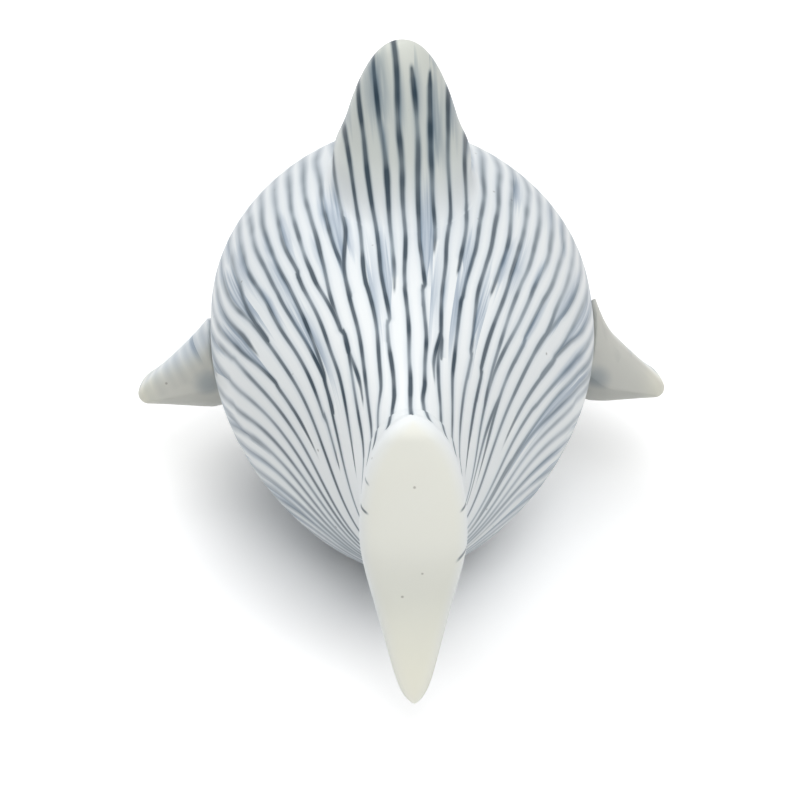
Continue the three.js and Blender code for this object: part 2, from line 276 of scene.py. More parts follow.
@dataclass(frozen=True)
class Body:
    """The cast body: oval sections along Y, flat underneath, with a vent through the foot."""

    half_width: float
    back_height: float
    head_length: float
    rear_length: float
    lines: Lines
    widest_height: float = 29 * MM
    belly_sink: float = 1.5 * MM
    snout_height: float = 17 * MM
    stem_half: float = 7.4 * MM
    stem_top: float = 45.2 * MM
    stem_low: float = 17.5 * MM
    width_fullness: float = 1.5
    back_fullness: float = 1.2
    belly_fullness: float = 2.23
    axis_fullness: float = 1.5
    head_width_power: float = 1.0
    head_top_power: float = 0.7
    head_low_power: float = 0.6
    head_axis_power: float = 2.6
    snout_bluntness: float = 0.4
    vent_radius: float = 3.5 * MM
    vent_setback: float = 14 * MM
    vent_depth: float = 9 * MM
    columns: int = 241
    head_rows: int = 84
    rear_rows: int = 104
    foot_rows: int = 7
    bottom_share: float = 0.8
    rim_distance: float = 12 * MM
    step: float = 0.01 * MM
    quadrature: int = 8

    @classmethod
    def from_frame(cls, lines: Lines) -> "Body":
        """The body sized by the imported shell."""
        low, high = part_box("body_shell")
        return cls(high.x, high.z, high.y, -low.y, lines)

    @property
    def stem_middle(self) -> float:
        """Height of the stem's middle."""
        return (self.stem_top + self.stem_low) / 2

    def section(self, y: Array) -> tuple[Array, Array, Array, Array]:
        """Half width, top, bottom and widest height of the sections at y.

        Behind the widest section each falls to the stem along half a cosine; ahead of it each
        closes on the snout as a power of 1 less the square of the share of the head's length.

        Args:
            y: stations of the sections.

        Returns:
            The four measures.
        """
        back = np.clip(-y / self.rear_length, 0.0, 1.0)
        ahead = np.clip(y / self.head_length, 0.0, 1.0)
        taper = 1.0 - ahead**2

        def fall(stem: float, full: float, fullness: float) -> Array:
            """Cosine fall from the full size to the stem's."""
            return stem + (full - stem) * 0.5 * (1.0 + np.cos(np.pi * back**fullness))

        def height(stem: float, full: float, fullness: float, power: float) -> Array:
            """A height that falls to the stem's behind and closes on the snout's ahead."""
            close = self.snout_height + (full - self.snout_height) * taper**power
            return np.where(y < 0, fall(stem, full, fullness), close)

        blunt = self.head_width_power - self.snout_bluntness * ahead**4
        behind = fall(self.stem_half, self.half_width, self.width_fullness)
        half = np.where(y < 0, behind, self.half_width * taper**blunt)
        top = height(self.stem_top, self.back_height, self.back_fullness, self.head_top_power)
        low = height(self.stem_low, -self.belly_sink, self.belly_fullness, self.head_low_power)
        middle = height(self.stem_middle, self.widest_height, self.axis_fullness, self.head_axis_power)
        return half, top, low, middle

    def point(self, y: Array, angle: Array) -> Array:
        """Points of the oval sections.

        Args:
            y: stations of the sections.
            angle: angles from the top of the back round by +X.

        Returns:
            The points.
        """
        half, top, low, middle = self.section(y)
        rise = np.cos(angle)
        reach = np.where(rise > 0, top - middle, middle - low)
        return stacked(half * np.sin(angle), y, middle + rise * reach)

    def ratio(self, points: Array) -> Array:
        """Distance from the body's axis, as a multiple of the section's own radius there.

        Args:
            points: the points.

        Returns:
            The multiple of each, 1 on the surface.
        """
        x, y, z = np.moveaxis(points, -1, 0)
        half, top, low, middle = self.section(y)
        rise = np.where(z > middle, top - middle, middle - low)
        return np.hypot(x / half, (z - middle) / rise)

    def slope(self, points: Array) -> Array:
        """Gradient of the ratio, by central differences along X, Y and Z."""
        changes = [self.ratio(points + s) - self.ratio(points - s) for s in np.eye(3) * self.step]
        return stacked(*changes) / (2 * self.step)

    def normal(self, points: Array) -> Array:
        """Outward directions of the body's surface."""
        return unit(self.slope(points))

    def lift(self, points: Array) -> Array:
        """Height of points above the body's surface."""
        return (self.ratio(points) - 1.0) / np.linalg.norm(self.slope(points), axis=-1)

    def seat(self, points: Array) -> Array:
        """Points moved to the body's surface, towards the axis of their own section.

        Args:
            points: the points.

        Returns:
            The points on the surface.
        """
        x, y, z = np.moveaxis(points, -1, 0)
        middle = self.section(y)[3]
        scale = self.ratio(points)
        return stacked(x / scale, y, middle + (z - middle) / scale)

    def foot_ends(self) -> tuple[float, float]:
        """Ends of the flat foot, where the belly reaches the floor: the section's formulas turned round.

        Returns:
            Rear and front end, along Y.
        """
        share = self.stem_low / (self.stem_low + self.belly_sink)
        back = (math.acos(2 * share - 1) / math.pi) ** (1 / self.belly_fullness)
        level = self.snout_height / (self.snout_height + self.belly_sink)
        ahead = math.sqrt(1 - level ** (1 / self.head_low_power))
        return -back * self.rear_length, ahead * self.head_length

    def on_foot(self, y: Array) -> Array:
        """Whether stations lie on the foot, its two ends included."""
        rear_end, front_end = self.foot_ends()
        return (y >= rear_end) & (y <= front_end)

    def rows(self) -> Array:
        """Stations along Y, close together at the snout, with one at each end of the foot.

        Returns:
            The stations, from the stem to the snout.
        """
        head = self.head_length * np.sin(np.linspace(0, np.pi / 2, self.head_rows))
        rear = -self.rear_length * np.linspace(0, 1, self.rear_rows)
        return np.unique(np.concatenate([head, rear, self.foot_ends()]))

    def angles(self, y: Array) -> Array:
        """Angles of the columns: even over the sides, and drawn up to the foot's edge below.

        Args:
            y: stations of the rows.

        Returns:
            One angle for each row and column.
        """
        _, _, low, middle = self.section(y)
        inner = self.on_foot(y) & ~np.isin(y, self.foot_ends())
        edge = np.where(inner, np.arccos(-middle / (middle - np.minimum(low, 0.0))), np.pi)
        share = np.linspace(-1, 1, self.columns)
        even = self.bottom_share * np.pi
        past = (np.abs(share) - self.bottom_share) / (1 - self.bottom_share)
        drawn = even + (edge[:, None] - even) * np.maximum(past, 0.0)
        return np.sign(share) * np.where(past < 0, np.pi * np.abs(share), drawn)

    def turned(self, y: Array, angle: Array) -> Array:
        """Angle round the section measured by length, so that a quarter turn from the top is a quarter.

        The length is the integral of the oval's speed, by quadrature at a few points up to the widest
        place and beyond it.

        Args:
            y: stations of the sections.
            angle: angles from the top of the back.

        Returns:
            The angles by length.
        """
        half, top, low, middle = self.section(y)
        nodes, weights = np.polynomial.legendre.leggauss(self.quadrature)

        def travelled(start: Array, end: Array, rise: Array) -> Array:
            """Length of the oval between two angles.

            Args:
                start: first angle.
                end: last angle.
                rise: the oval's upright half.

            Returns:
                The length.
            """
            at = start[..., None] + (end - start)[..., None] * (nodes + 1) / 2
            speed = np.hypot(half[..., None] * np.cos(at), rise[..., None] * np.sin(at))
            return np.sum(speed * weights, axis=-1) / 2 * (end - start)

        half, top, low, middle, size = np.broadcast_arrays(half, top, low, middle, np.abs(angle))
        quarter = np.full_like(size, np.pi / 2)
        upper = travelled(np.zeros_like(size), np.minimum(size, quarter), top - middle)
        lower = travelled(quarter, np.maximum(size, quarter), middle - low)
        whole = travelled(np.zeros_like(size), quarter, top - middle)
        return np.sign(angle) * (upper + lower) / np.maximum(whole, TINY) * np.pi / 2

    def narrowed(self, y: Array) -> Array:
        """How far the rear has drawn in, as the logarithm of the width lost."""
        lost = np.log(self.lines.narrow_share * self.half_width / self.section(y)[0])
        return np.where(y < 0, np.maximum(lost, 0.0), 0.0)

    def spaced(self, y: Array, turn: Array) -> Array:
        """Turns as the painter counts them: all of them over the back, fewer down the sides and the stem.

        The count falls off along a soft step, and what is taken away here is its integral, a soft ramp.

        Args:
            y: stations of the sections.
            turn: angles by length.

        Returns:
            The angles as counted.
        """
        lines = self.lines
        size = np.abs(turn)
        stem = ease(self.narrowed(y), 0.0, lines.stem_narrowing)
        thinning = lines.side_thinning + lines.stem_thinning * stem
        ramp = np.logaddexp(0.0, (size - lines.side_from) / lines.side_blend)
        start = np.logaddexp(0.0, -lines.side_from / lines.side_blend)
        return np.sign(turn) * (size - thinning * lines.side_blend * (ramp - start))

    def flow(self, y: Array, angle: Array) -> Array:
        """Number of the rear line at a place on the body.

        Lines keep their angle over the middle of the body, spread as the body narrows to the stem,
        by a power of the logarithm of how narrow it has become, and spread a little to the front.

        Args:
            y: stations of the sections.
            angle: angles from the top of the back.

        Returns:
            The number, 0 along the middle of the back and rising to the right.
        """
        lines = self.lines
        ahead = np.clip(y, lines.front_spread_from, lines.front_spread_to) - lines.front_spread_from
        spread = np.exp(lines.spread_power * self.narrowed(y) ** 2 + lines.front_spread * ahead)
        return self.spaced(y, self.turned(y, angle)) / spread * lines.rear_count / (2 * np.pi)

    def sides(self) -> Sheet:
        """The painted skin, from the stem to the snout and from one edge of the foot to the other.

        Returns:
            The sheet, its two side edges level on the foot and together elsewhere.
        """
        y = self.rows()
        angle = self.angles(y)
        points = self.point(y[:, None], angle)
        on_foot = self.on_foot(y)
        for edge in (0, -1):
            points[on_foot, edge, 2] = 0.0
            points[:, edge, 0] *= on_foot & ~np.isin(y, self.foot_ends())
        station = np.broadcast_to(y[:, None], angle.shape)
        past = -self.rear_length - station - self.rim_distance
        zero = np.zeros_like(past)
        return Sheet.painted(points, self.flow(station, angle), station, stacked(zero, zero, past))

    def stem_cap(self, skin: Sheet) -> Sheet:
        """Closes the end of the stem: straight lines from its ring to its centre.

        Args:
            skin: the painted skin.

        Returns:
            The sheet.
        """
        ring = skin.points[0]
        centre = np.array([0.0, -self.rear_length, self.stem_middle])
        points = np.stack([ring, np.broadcast_to(centre, ring.shape)])
        return Sheet(points, np.repeat(skin.brush[:1], 2, axis=0), np.repeat(skin.glaze[:1], 2, axis=0))

    def foot(self, skin: Sheet) -> Sheet:
        """The flat foot: straight lines from its outline to the vent's rim, then up the blind bore.

        Args:
            skin: the painted skin.

        Returns:
            The sheet.
        """
        on_foot = self.on_foot(self.rows())
        right, left = skin.points[on_foot, -1], skin.points[on_foot, 0]
        outline = np.concatenate([right, left[::-1][1:]])
        centre = np.array([0.0, -self.vent_setback, 0.0])
        rim = centre + unit(outline - centre) * self.vent_radius
        share = np.linspace(0, 1, self.foot_rows)[:, None, None]
        flat = outline * (1 - share) + rim * share
        deep = rim + np.array([0.0, 0.0, self.vent_depth])
        end = np.broadcast_to(centre + np.array([0.0, 0.0, self.vent_depth]), rim.shape)
        points = np.concatenate([flat, [deep, end]])
        plain = np.zeros_like(points)
        unpainted = plain + [0.0, 1.0, 1.0]
        return Sheet(points, unpainted, plain)

    def build(self, kiln: Kiln) -> bpy.types.Object:
        """The body as one piece, standing for its shell.

        Args:
            kiln: what makes the mesh.

        Returns:
            The piece.
        """
        skin = self.sides()
        piece = kiln.fire("body", [skin, self.stem_cap(skin), self.foot(skin)])
        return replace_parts(piece, "body_shell")


@dataclass(frozen=True)
class Fillet:
    """The smoothed slip where a fin meets the body."""

    rise: float
    reach: float
    rows: int = 12
    tuck: float = 0.3 * MM
    root: float = 4 * MM

    def skirt(self, body: Body, start: Array, leave: Array, outward: Array) -> Array:
        """Smooth curves from a fin down to the body, tucked under its skin and closed inside.

        Each curve is a cubic that leaves the fin along its own fall and reaches the body along the
        body's surface.

        Args:
            body: the body that carries the fin.
            start: where the curves leave the fin, one for each column.
            leave: directions down the fin.
            outward: directions away from the fin's face.

        Returns:
            Rows of points after the start.
        """
        land = body.seat(start + outward * self.reach)
        away = land - start
        span = np.linalg.norm(away, axis=-1, keepdims=True)
        normal = body.normal(land)
        arrive = unit(away - np.sum(away * normal, axis=-1, keepdims=True) * normal)
        share = np.linspace(0, 1, self.rows + 1)[1:, None, None]
        curve = cubic(share, start, leave * span, land, arrive * span)
        under = land - self.tuck * normal
        centre = np.mean(under, axis=0) - self.root * unit(np.mean(normal, axis=0))
        return np.concatenate([curve, [under], [np.broadcast_to(centre, under.shape)]])


@dataclass(frozen=True)
class Dorsal:
    """The fin on the back: level ovals from a round tip, flowing out into the body."""

    body: Body
    tip_height: float
    fillet: Fillet = Fillet(rise=5.5 * MM, reach=7 * MM)
    tip_y: float = -5 * MM
    half_thickness: float = 10.4 * MM
    flare: float = 2.2 * MM
    front_round: float = 8 * MM
    front_reach: float = 14 * MM
    rear_round: float = 8 * MM
    rear_sweep: float = 5 * MM
    round_power: float = 0.42
    thickest: float = 0.4
    flare_start: float = 0.6
    sweep_start: float = 0.3
    flare_end: float = 1.2
    line_lean: float = 0.05
    line_fan: float = 8.0
    climb: float = 0.7
    glow_height: float = 9 * MM
    columns: int = 161
    rows: int = 64
    tip_crowding: float = 2.2
    least_drop: float = 0.1
    most_drop: float = 1.5

    @classmethod
    def from_frame(cls, body: Body) -> "Dorsal":
        """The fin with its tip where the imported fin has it."""
        return cls(body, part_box("dorsal_fin")[1].z)

    def point(self, angle: Array, drop: Array) -> Array:
        """Points by angle, from the rear edge round by +X, and by drop below the tip.

        The drop is a share of the fin's height. Half thickness and both reaches grow as a power of
        it, and below a start each is swept out by the square of what is past that start.

        Args:
            angle: the angles.
            drop: the drops.

        Returns:
            The points.
        """
        height = self.tip_height - self.body.back_height

        def past(start: float) -> Array:
            """Square of the share past a start, level from the flare's end on."""
            return (np.maximum(np.minimum(drop, self.flare_end) - start, 0.0) / (1 - start)) ** 2

        rounded = drop**self.round_power
        half = self.half_thickness * rounded + self.flare * past(self.flare_start)
        front = self.tip_y + self.front_round * rounded + self.front_reach * drop
        rear = self.tip_y - self.rear_round * rounded - self.rear_sweep * past(self.sweep_start)
        middle = rear + self.thickest * (front - rear)
        behind = np.cos(angle)
        y = middle - behind * np.where(behind > 0, middle - rear, front - middle)
        return stacked(half * np.sin(angle), y, self.tip_height - height * drop)

    def sheet(self) -> Sheet:
        """The whole fin, from the tip down and out over the back.

        Returns:
            The sheet.
        """
        angle = np.linspace(-np.pi, np.pi, self.columns)

        def clear(drop: Array) -> Array:
            """Height over the place where the fillet begins."""
            return self.body.lift(self.point(angle, drop)) - self.fillet.rise

        ones = np.ones_like(angle)
        foot = bisect(clear, self.least_drop * ones, self.most_drop * ones)
        share = np.linspace(0, 1, self.rows)[:, None]
        fin = self.point(angle[None, :], foot * share**self.tip_crowding)
        leave = unit(self.point(angle, foot + STEP) - self.point(angle, foot - STEP))
        around = unit(self.point(angle + STEP, foot) - self.point(angle - STEP, foot))
        outward = unit(np.cross(leave, around))
        points = np.concatenate([fin, self.fillet.skirt(self.body, fin[-1], leave, outward)])
        return self.paint(points)

    def paint(self, points: Array) -> Sheet:
        """Lines of the back run on up the fin, leaning to the left, more so on the left half.

        Args:
            points: the grid.

        Returns:
            The sheet.
        """
        x, y, z = np.moveaxis(points, -1, 0)
        half, top, _, middle = self.body.section(y)
        on_back = middle + (top - middle) * np.sqrt(np.maximum(1 - (x / half) ** 2, 0.0))
        height = np.maximum(z - on_back, 0.0)
        leant = x + height * (self.line_lean + self.line_fan * np.maximum(-x, 0.0))
        number = self.body.flow(y, np.arcsin(np.clip(leant / half, -1.0, 1.0)))
        below = self.tip_height - z
        thin = ease(below, self.glow_height, 0.0)
        return Sheet.painted(points, number, y + self.climb * height, stacked(0.0, thin, -below))

    def build(self, kiln: Kiln) -> bpy.types.Object:
        """The fin on the back as one piece, standing for the fin and the slip under it.

        Args:
            kiln: what makes the mesh.

        Returns:
            The piece.
        """
        piece = kiln.fire("dorsal", [self.sheet()])
        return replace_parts(piece, "dorsal_fin", "dorsal_slip_joint")


@dataclass(frozen=True)
class Tail:
    """The upright tail: the stem's oval swept back to a thick, rounded, unpainted face."""

    body: Body
    crest_height: float
    tip_height: float
    tip_y: float
    face_half: float = 7.5 * MM
    face_widest_height: float = 30 * MM
    top_fullness: float = 2.5
    crest_roll: float = 2.2 * MM
    top_lean: float = 4.5 * MM
    tip_sweep: float = 3.1 * MM
    sweep_power: float = 5
    face_round: float = 2.4 * MM
    face_edge: float = 0.3 * MM
    face_squareness: float = 3
    hollow: float = 1.6 * MM
    hollow_from: float = 0.42
    hollow_to: float = 0.98
    tip_half: float = 1.7 * MM
    taper_power: float = 1.34
    tip_squareness: float = 24
    stem_pull: float = 1.1
    rim_pull: float = 0.9
    seam: float = 1.2 * MM
    inset: float = 0.4 * MM
    root: float = 2 * MM
    columns: int = 241
    side_rows: int = 44
    face_rows: int = 40
    bare_from: float = 0.2 * MM
    bare_to: float = 3.4 * MM
    glow_height: float = 16 * MM
    bend: float = 5 * MM
    bend_length: float = 10 * MM
    bend_from: float = 8 * MM

    @classmethod
    def from_frame(cls, body: Body) -> "Tail":
        """The tail with its crest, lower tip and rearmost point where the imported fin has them."""
        low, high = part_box("tail_fin")
        return cls(body, high.z, low.z, low.y)

    def down(self, angle: Array) -> Array:
        """Share of the way down from the crest to the lower tip."""
        return (1 - np.cos(angle)) / 2

    def half(self, down: Array) -> Array:
        """Half thickness of the face: a full oval above its widest place, a power taper below.

        Args:
            down: share of the way down to the lower tip.

        Returns:
            The half thickness.
        """
        widest = (self.crest_height - self.face_widest_height) / (self.crest_height - self.tip_height)
        above = np.sqrt(np.maximum(1 - (1 - np.minimum(down / widest, 1.0)) ** self.top_fullness, 0.0))
        below = np.clip((down - widest) / (1 - widest), 0.0, 1.0)
        taper = self.face_half - (self.face_half - self.tip_half) * below**self.taper_power
        return np.where(
            down < widest, self.face_half * above, taper * np.sqrt(1 - below**self.tip_squareness)
        )

    def face(self, angle: Array, out: Array) -> Array:
        """Points of the face by angle round its rim and by share from the rim to its middle line.

        Across, the face is flat with round edges. From the side, its middle line leans forward at the
        crest as a cube, rolls over there in a quarter circle, is hollowed by the square of a sine, and
        sweeps back to the tip as a high power.

        Args:
            angle: angles round the rim, from the crest by +X.
            out: shares from the rim to the middle line.

        Returns:
            The points.
        """
        down = self.down(angle)
        half = self.half(down)
        bulge = self.face_edge + self.face_round * np.sqrt(half / self.face_half)
        quarter = out * np.pi / 2
        flatness = 2 / self.face_squareness
        drop = (self.crest_height - self.tip_height) * down
        above = np.maximum(1 - drop / self.crest_roll, 0.0)
        roll = self.crest_roll * (1 - np.sqrt(1 - above**2))
        sweep = self.tip_sweep * (1 - down**self.sweep_power)
        within = np.clip((down - self.hollow_from) / (self.hollow_to - self.hollow_from), 0.0, 1.0)
        hollow = self.hollow * np.sin(np.pi * within) ** 2
        line = self.tip_y + sweep + self.top_lean * (1 - down) ** 3 + roll + hollow
        return stacked(
            np.sign(angle) * half * np.cos(quarter) ** flatness,
            line + bulge * (1 - np.sin(quarter) ** flatness),
            self.crest_height - drop + 0 * out,
        )

    def flank(self, angle: Array) -> Array:
        """Rows from the stem's ring to the rim.

        Each column is a cubic that leaves the stem straight back and reaches the rim level at the
        crest, more and more along its own fall towards the lower tip.

        Args:
            angle: angles of the columns.

        Returns:
            The rows of points.
        """
        body = self.body
        start = body.point(np.full_like(angle, -body.rear_length), angle)
        level = start - np.array([0.0, self.seam, 0.0])
        rim = self.face(angle, np.zeros_like(angle))
        reach = (level - rim)[:, 1]
        zero = np.zeros_like(reach)
        leave = stacked(zero, -self.stem_pull * reach, zero)
        arrive = self.rim_pull * stacked(zero, -reach, (rim - level)[:, 2] * self.down(angle))
        share = np.linspace(0, 1, self.side_rows)[:, None, None]
        return np.concatenate([[start], cubic(share, level, leave, rim, arrive)])

    def sheet(self) -> Sheet:
        """The whole tail: a root inside the stem, the painted flanks, and the face folded shut.

        Returns:
            The sheet.
        """
        angle = np.linspace(-np.pi, np.pi, self.columns)
        flank = self.flank(angle)
        out = np.linspace(0, 1, self.face_rows)[1:, None]
        face = self.face(np.broadcast_to(angle, (len(out), len(angle))), out)
        inside = self.body.point(np.full_like(angle, -self.body.rear_length), angle)
        axis = np.array([0.0, 0.0, self.body.stem_middle])
        towards = unit(axis - inside * [1, 0, 1])
        inside = inside + self.inset * towards + [0.0, self.root / 2, 0.0]
        centre = np.broadcast_to(axis + [0.0, self.root - self.body.rear_length, 0.0], inside.shape)
        points = np.concatenate([[centre], [inside], flank, face])
        return self.paint(points, angle, rim_row=1 + len(flank))

    def paint(self, points: Array, angle: Array, rim_row: int) -> Sheet:
        """Lines run back at an even distance from the crest, bend down along the rim and stop near it.

        Args:
            points: the grid, from the root to the middle of the face.
            angle: angles of the columns.
            rim_row: the row that lies on the rim.

        Returns:
            The sheet; the line numbers of the rim carry on over the face.
        """
        travelled = lengths(points, axis=1)
        travelled = travelled - travelled[:, [self.columns // 2]]
        travelled[rim_row:] = travelled[rim_row]
        back = lengths(points, axis=0)
        past = back - back[rim_row]
        below = np.abs(travelled)
        drop = self.bend * ease(past, -self.bend_length, 0.0) * below / (below + self.bend_from)
        stem = np.full_like(angle, -self.body.rear_length)
        whole = self.body.turned(stem, angle)[-1]
        turn = (travelled - np.sign(travelled) * drop) / travelled[2, -1] * whole
        share = self.body.spaced(stem, turn) / self.body.spaced(stem, whole)
        number = share * self.body.flow(stem, angle)[-1]
        bare = ease(past, self.bare_from, self.bare_to)
        thin = ease(points[..., 2], self.tip_height + self.glow_height, self.tip_height)
        return Sheet.painted(points, number, points[..., 1], stacked(bare, thin, past))

    def build(self, kiln: Kiln) -> bpy.types.Object:
        """The tail as one piece, standing for the fin and the slip before it.

        Args:
            kiln: what makes the mesh.

        Returns:
            The piece.
        """
        piece = kiln.fire("tail", [self.sheet()])
        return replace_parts(piece, "tail_fin", "tail_slip_joint")


@dataclass(frozen=True)
class Pectoral:
    """A side fin: a wedge with a tall blunt rear face, thin in front and towards the tip."""

    body: Body
    side: Side
    tip_x: float
    rear_y: float
    fillet: Fillet = Fillet(rise=0.7 * MM, reach=1.1 * MM)
    root_front_y: float = 18 * MM
    tip_front_y: float = 4 * MM
    front_fairing: float = 5 * MM
    root_top: float = 31 * MM
    tip_top: float = 18 * MM
    root_low: float = 10.9 * MM
    tip_low: float = 15.4 * MM
    tip_round: float = 1.7 * MM
    left_flare: float = 0.8 * MM
    right_flare: float = 4.5 * MM
    flare_from: float = 0.32
    flare_inside: float = 0.1
    top_inside: float = 0.15
    base_rise: float = 0.1
    heel_rise: float = 0.38
    heel_sharpness: float = 7
    rear_squareness: float = 20
    line_lean: float = 0.5
    fall_power: float = 1.3
    edge_power: float = 0.75
    axis_forward: float = 0.35
    axis_up: float = 0.45
    first_line: int = 100
    left_share: float = 0.25
    right_share: float = 0.52
    bare_from: float = -4 * MM
    bare_to: float = 0.5 * MM
    glow_width: float = 5 * MM
    columns: int = 201
    rows: int = 56
    tip_crowding: float = 1.7
    least_inward: float = 0.2
    most_inward: float = 2.0
    turn_step: float = 0.02

    @classmethod
    def from_frame(cls, body: Body, side: Side) -> "Pectoral":
        """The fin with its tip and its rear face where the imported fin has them."""
        low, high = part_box(f"{side.name.lower()}_pectoral_fin")
        return cls(body, side, max(high.x, -low.x), low.y)

    def levels(self, out: Array) -> tuple[Array, Array]:
        """Top and bottom of the section. The top sweeps up to the body as the square of the nearness.

        Args:
            out: share out from the body's side to the tip.

        Returns:
            Both heights.
        """
        beyond = np.maximum(out, 0.0)
        straight = self.root_top + (self.tip_top - self.root_top) * np.maximum(out, -self.top_inside)
        near = 1 - np.clip(out, -self.flare_inside, self.flare_from) / self.flare_from
        flare = self.left_flare if self.side is Side.LEFT else self.right_flare
        top = straight + flare * near**2
        return top, self.root_low + (self.tip_low - self.root_low) * beyond

    def point(self, angle: Array, out: Array) -> Array:
        """Points by angle round the section and by share out to the tip.

        The ring runs forward along the top, which falls to the front edge as a power of the share
        ahead, and back along the base, which curves up to the rear face; near the tip it closes as
        a quarter oval.

        Args:
            angle: angles from the rear round by the top.
            out: shares out to the tip.

        Returns:
            The points.
        """
        span = self.tip_x - self.body.half_width
        top, low = self.levels(out)
        height = top - low
        sweep = self.root_front_y - self.tip_front_y
        inside = np.minimum(out, 0.0)
        fairing = self.front_fairing * (1 - np.exp(inside * sweep / self.front_fairing))
        front = self.root_front_y - sweep * np.maximum(out, 0.0) + fairing
        round_from = 1 - self.tip_round / span
        rounded = np.maximum(out - round_from, 0.0) / (1 - round_from)
        close = np.sqrt(np.maximum(1 - rounded**2, 0.0))
        ahead = (1 - np.cos(angle)) / 2
        lift = self.base_rise * ahead + self.heel_rise * (1 - ahead) ** self.heel_sharpness
        base = low + height * lift
        fall = (1 - ahead**self.fall_power) ** self.edge_power
        heel = np.sqrt(1 - (1 - ahead) ** self.rear_squareness)
        z = np.where(angle < np.pi, base + (top - base) * fall * heel, base)
        y = self.rear_y + (front - self.rear_y) * ahead
        axis_y = self.rear_y + self.axis_forward * (front - self.rear_y)
        axis_z = low + self.axis_up * height
        x = self.side.value * (self.body.half_width + span * out)
        return stacked(x + 0 * angle, axis_y + (y - axis_y) * close, axis_z + (z - axis_z) * close)

    def sheet(self) -> Sheet:
        """The whole fin, from the tip in and out again over the body's side.

        Returns:
            The sheet.
        """
        angle = np.linspace(0, 2 * np.pi, self.columns)

        def clear(inward: Array) -> Array:
            """Height over the place where the fillet begins."""
            return self.body.lift(self.point(angle, 1 - inward)) - self.fillet.rise

        ones = np.ones_like(angle)
        foot = bisect(clear, self.least_inward * ones, self.most_inward * ones)
        share = np.linspace(0, 1, self.rows)[:, None]
        out = 1 - foot * share**self.tip_crowding
        fin = self.point(np.broadcast_to(angle, out.shape), out)
        root = out[-1]
        leave = unit(self.point(angle, root - STEP) - self.point(angle, root + STEP))
        before = np.maximum(angle - self.turn_step, 0.0)
        after = np.minimum(angle + self.turn_step, 2 * np.pi)
        around = unit(self.point(after, root) - self.point(before, root))
        outward = self.side.value * unit(np.cross(leave, around))
        skirt = self.fillet.skirt(self.body, fin[-1], leave, outward)
        shares = np.concatenate([out, np.repeat(out[-1:], len(skirt), axis=0)])
        return self.paint(np.concatenate([fin, skirt]), shares)

    def paint(self, points: Array, out: Array) -> Sheet:
        """Lines run back over the top; on the left they run on a little down the rear face.

        Args:
            points: the grid.
            out: share out to the tip, for each point.

        Returns:
            The sheet, bare on the rear face and underneath.
        """
        travelled = lengths(points, axis=1)
        top, low = self.levels(out)
        below = np.arange(self.columns) > self.columns // 2
        share = self.left_share if self.side is Side.LEFT else self.right_share
        past = np.where(below, top - low, share * (top - low) - travelled)
        x, y, z = np.moveaxis(points, -1, 0)
        leant = np.abs(x) - self.body.half_width - self.line_lean * (z - self.tip_top)
        number = leant / self.body.lines.fin_spacing
        bare = ease(past, self.bare_from, self.bare_to)
        thin = ease(np.abs(x), self.tip_x - self.glow_width, self.tip_x)
        first = self.first_line * self.side.value
        return Sheet.painted(points, number + first, y, stacked(bare, thin, past))

    def build(self, kiln: Kiln) -> bpy.types.Object:
        """The side fin as one piece, standing for the fin and the slip under it.

        Args:
            kiln: what makes the mesh.

        Returns:
            The piece.
        """
        name = f"{self.side.name.lower()}_pectoral"
        piece = kiln.fire(name, [self.sheet()])
        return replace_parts(piece, f"{name}_fin", f"{name}_slip_joint")


class Value:
    """One number of a shader, with the arithmetic that the glaze is written in."""

    def __init__(self, recipe: "Recipe", socket: bpy.types.NodeSocket) -> None:
        """Wraps an output socket of a recipe's tree."""
        self.recipe = recipe
        self.socket = socket

    def _with(self, operation: str, *others: "Value | float") -> "Value":
        """A Math node on this number and others."""
        return self.recipe.math(operation, self, *others)

    def __add__(self, other: "Value | float") -> "Value":
        """Sum."""
        return self._with("ADD", other)

    __radd__ = __add__

    def __sub__(self, other: "Value | float") -> "Value":
        """Difference."""
        return self._with("SUBTRACT", other)

    def __rsub__(self, other: float) -> "Value":
        """Difference from a plain number."""
        return self.recipe.math("SUBTRACT", other, self)

    def __mul__(self, other: "Value | float") -> "Value":
        """Product."""
        return self._with("MULTIPLY", other)

    __rmul__ = __mul__

    def __truediv__(self, other: "Value | float") -> "Value":
        """Quotient."""
        return self._with("DIVIDE", other)

    def __abs__(self) -> "Value":
        """Size without sign."""
        return self._with("ABSOLUTE")

    def __gt__(self, other: "Value | float") -> "Value":
        """1 where this number is the greater, else 0."""
        return self._with("GREATER_THAN", other)

    def __lt__(self, other: "Value | float") -> "Value":
        """1 where this number is the smaller, else 0."""
        return self._with("LESS_THAN", other)

    def nearest(self) -> "Value":
        """The nearest whole number."""
        return self._with("ROUND")

    def floor(self) -> "Value":
        """The whole number below."""
        return self._with("FLOOR")

    def greatest(self, other: "Value | float") -> "Value":
        """The greater of two numbers."""
        return self._with("MAXIMUM", other)

    def least(self, other: "Value | float") -> "Value":
        """The smaller of two numbers."""
        return self._with("MINIMUM", other)

    def eased(self, start: "Value | float", end: "Value | float") -> "Value":
        """Smooth step, as ease() makes it for arrays.

        Args:
            start: where the step is 0.
            end: where it is 1, above or below the start.

        Returns:
            The step.
        """
        sockets = {"Value": self, "From Min": start, "From Max": end}
        settings = {"interpolation_type": "SMOOTHSTEP", "clamp": True}
        made = self.recipe.node("ShaderNodeMapRange", settings, sockets)
        return Value(self.recipe, made.outputs["Result"])


class Draw(Enum):
    """Which chance numbers a stroke takes, as the second key of the draw."""

    JOIN = 3.0
    STOP = 5.0
    FORK = 7.0
    JOG = 9.0
    RIM = 10.0
    WEDGE = 11.0
    BACK_WASH = 12.0
    SHOULDER_WASH = 13.0
    FIN_WASH = 14.0
    BACK_SIDE = 32.0
    SHOULDER_SIDE = 33.0
    FIN_SIDE = 34.0


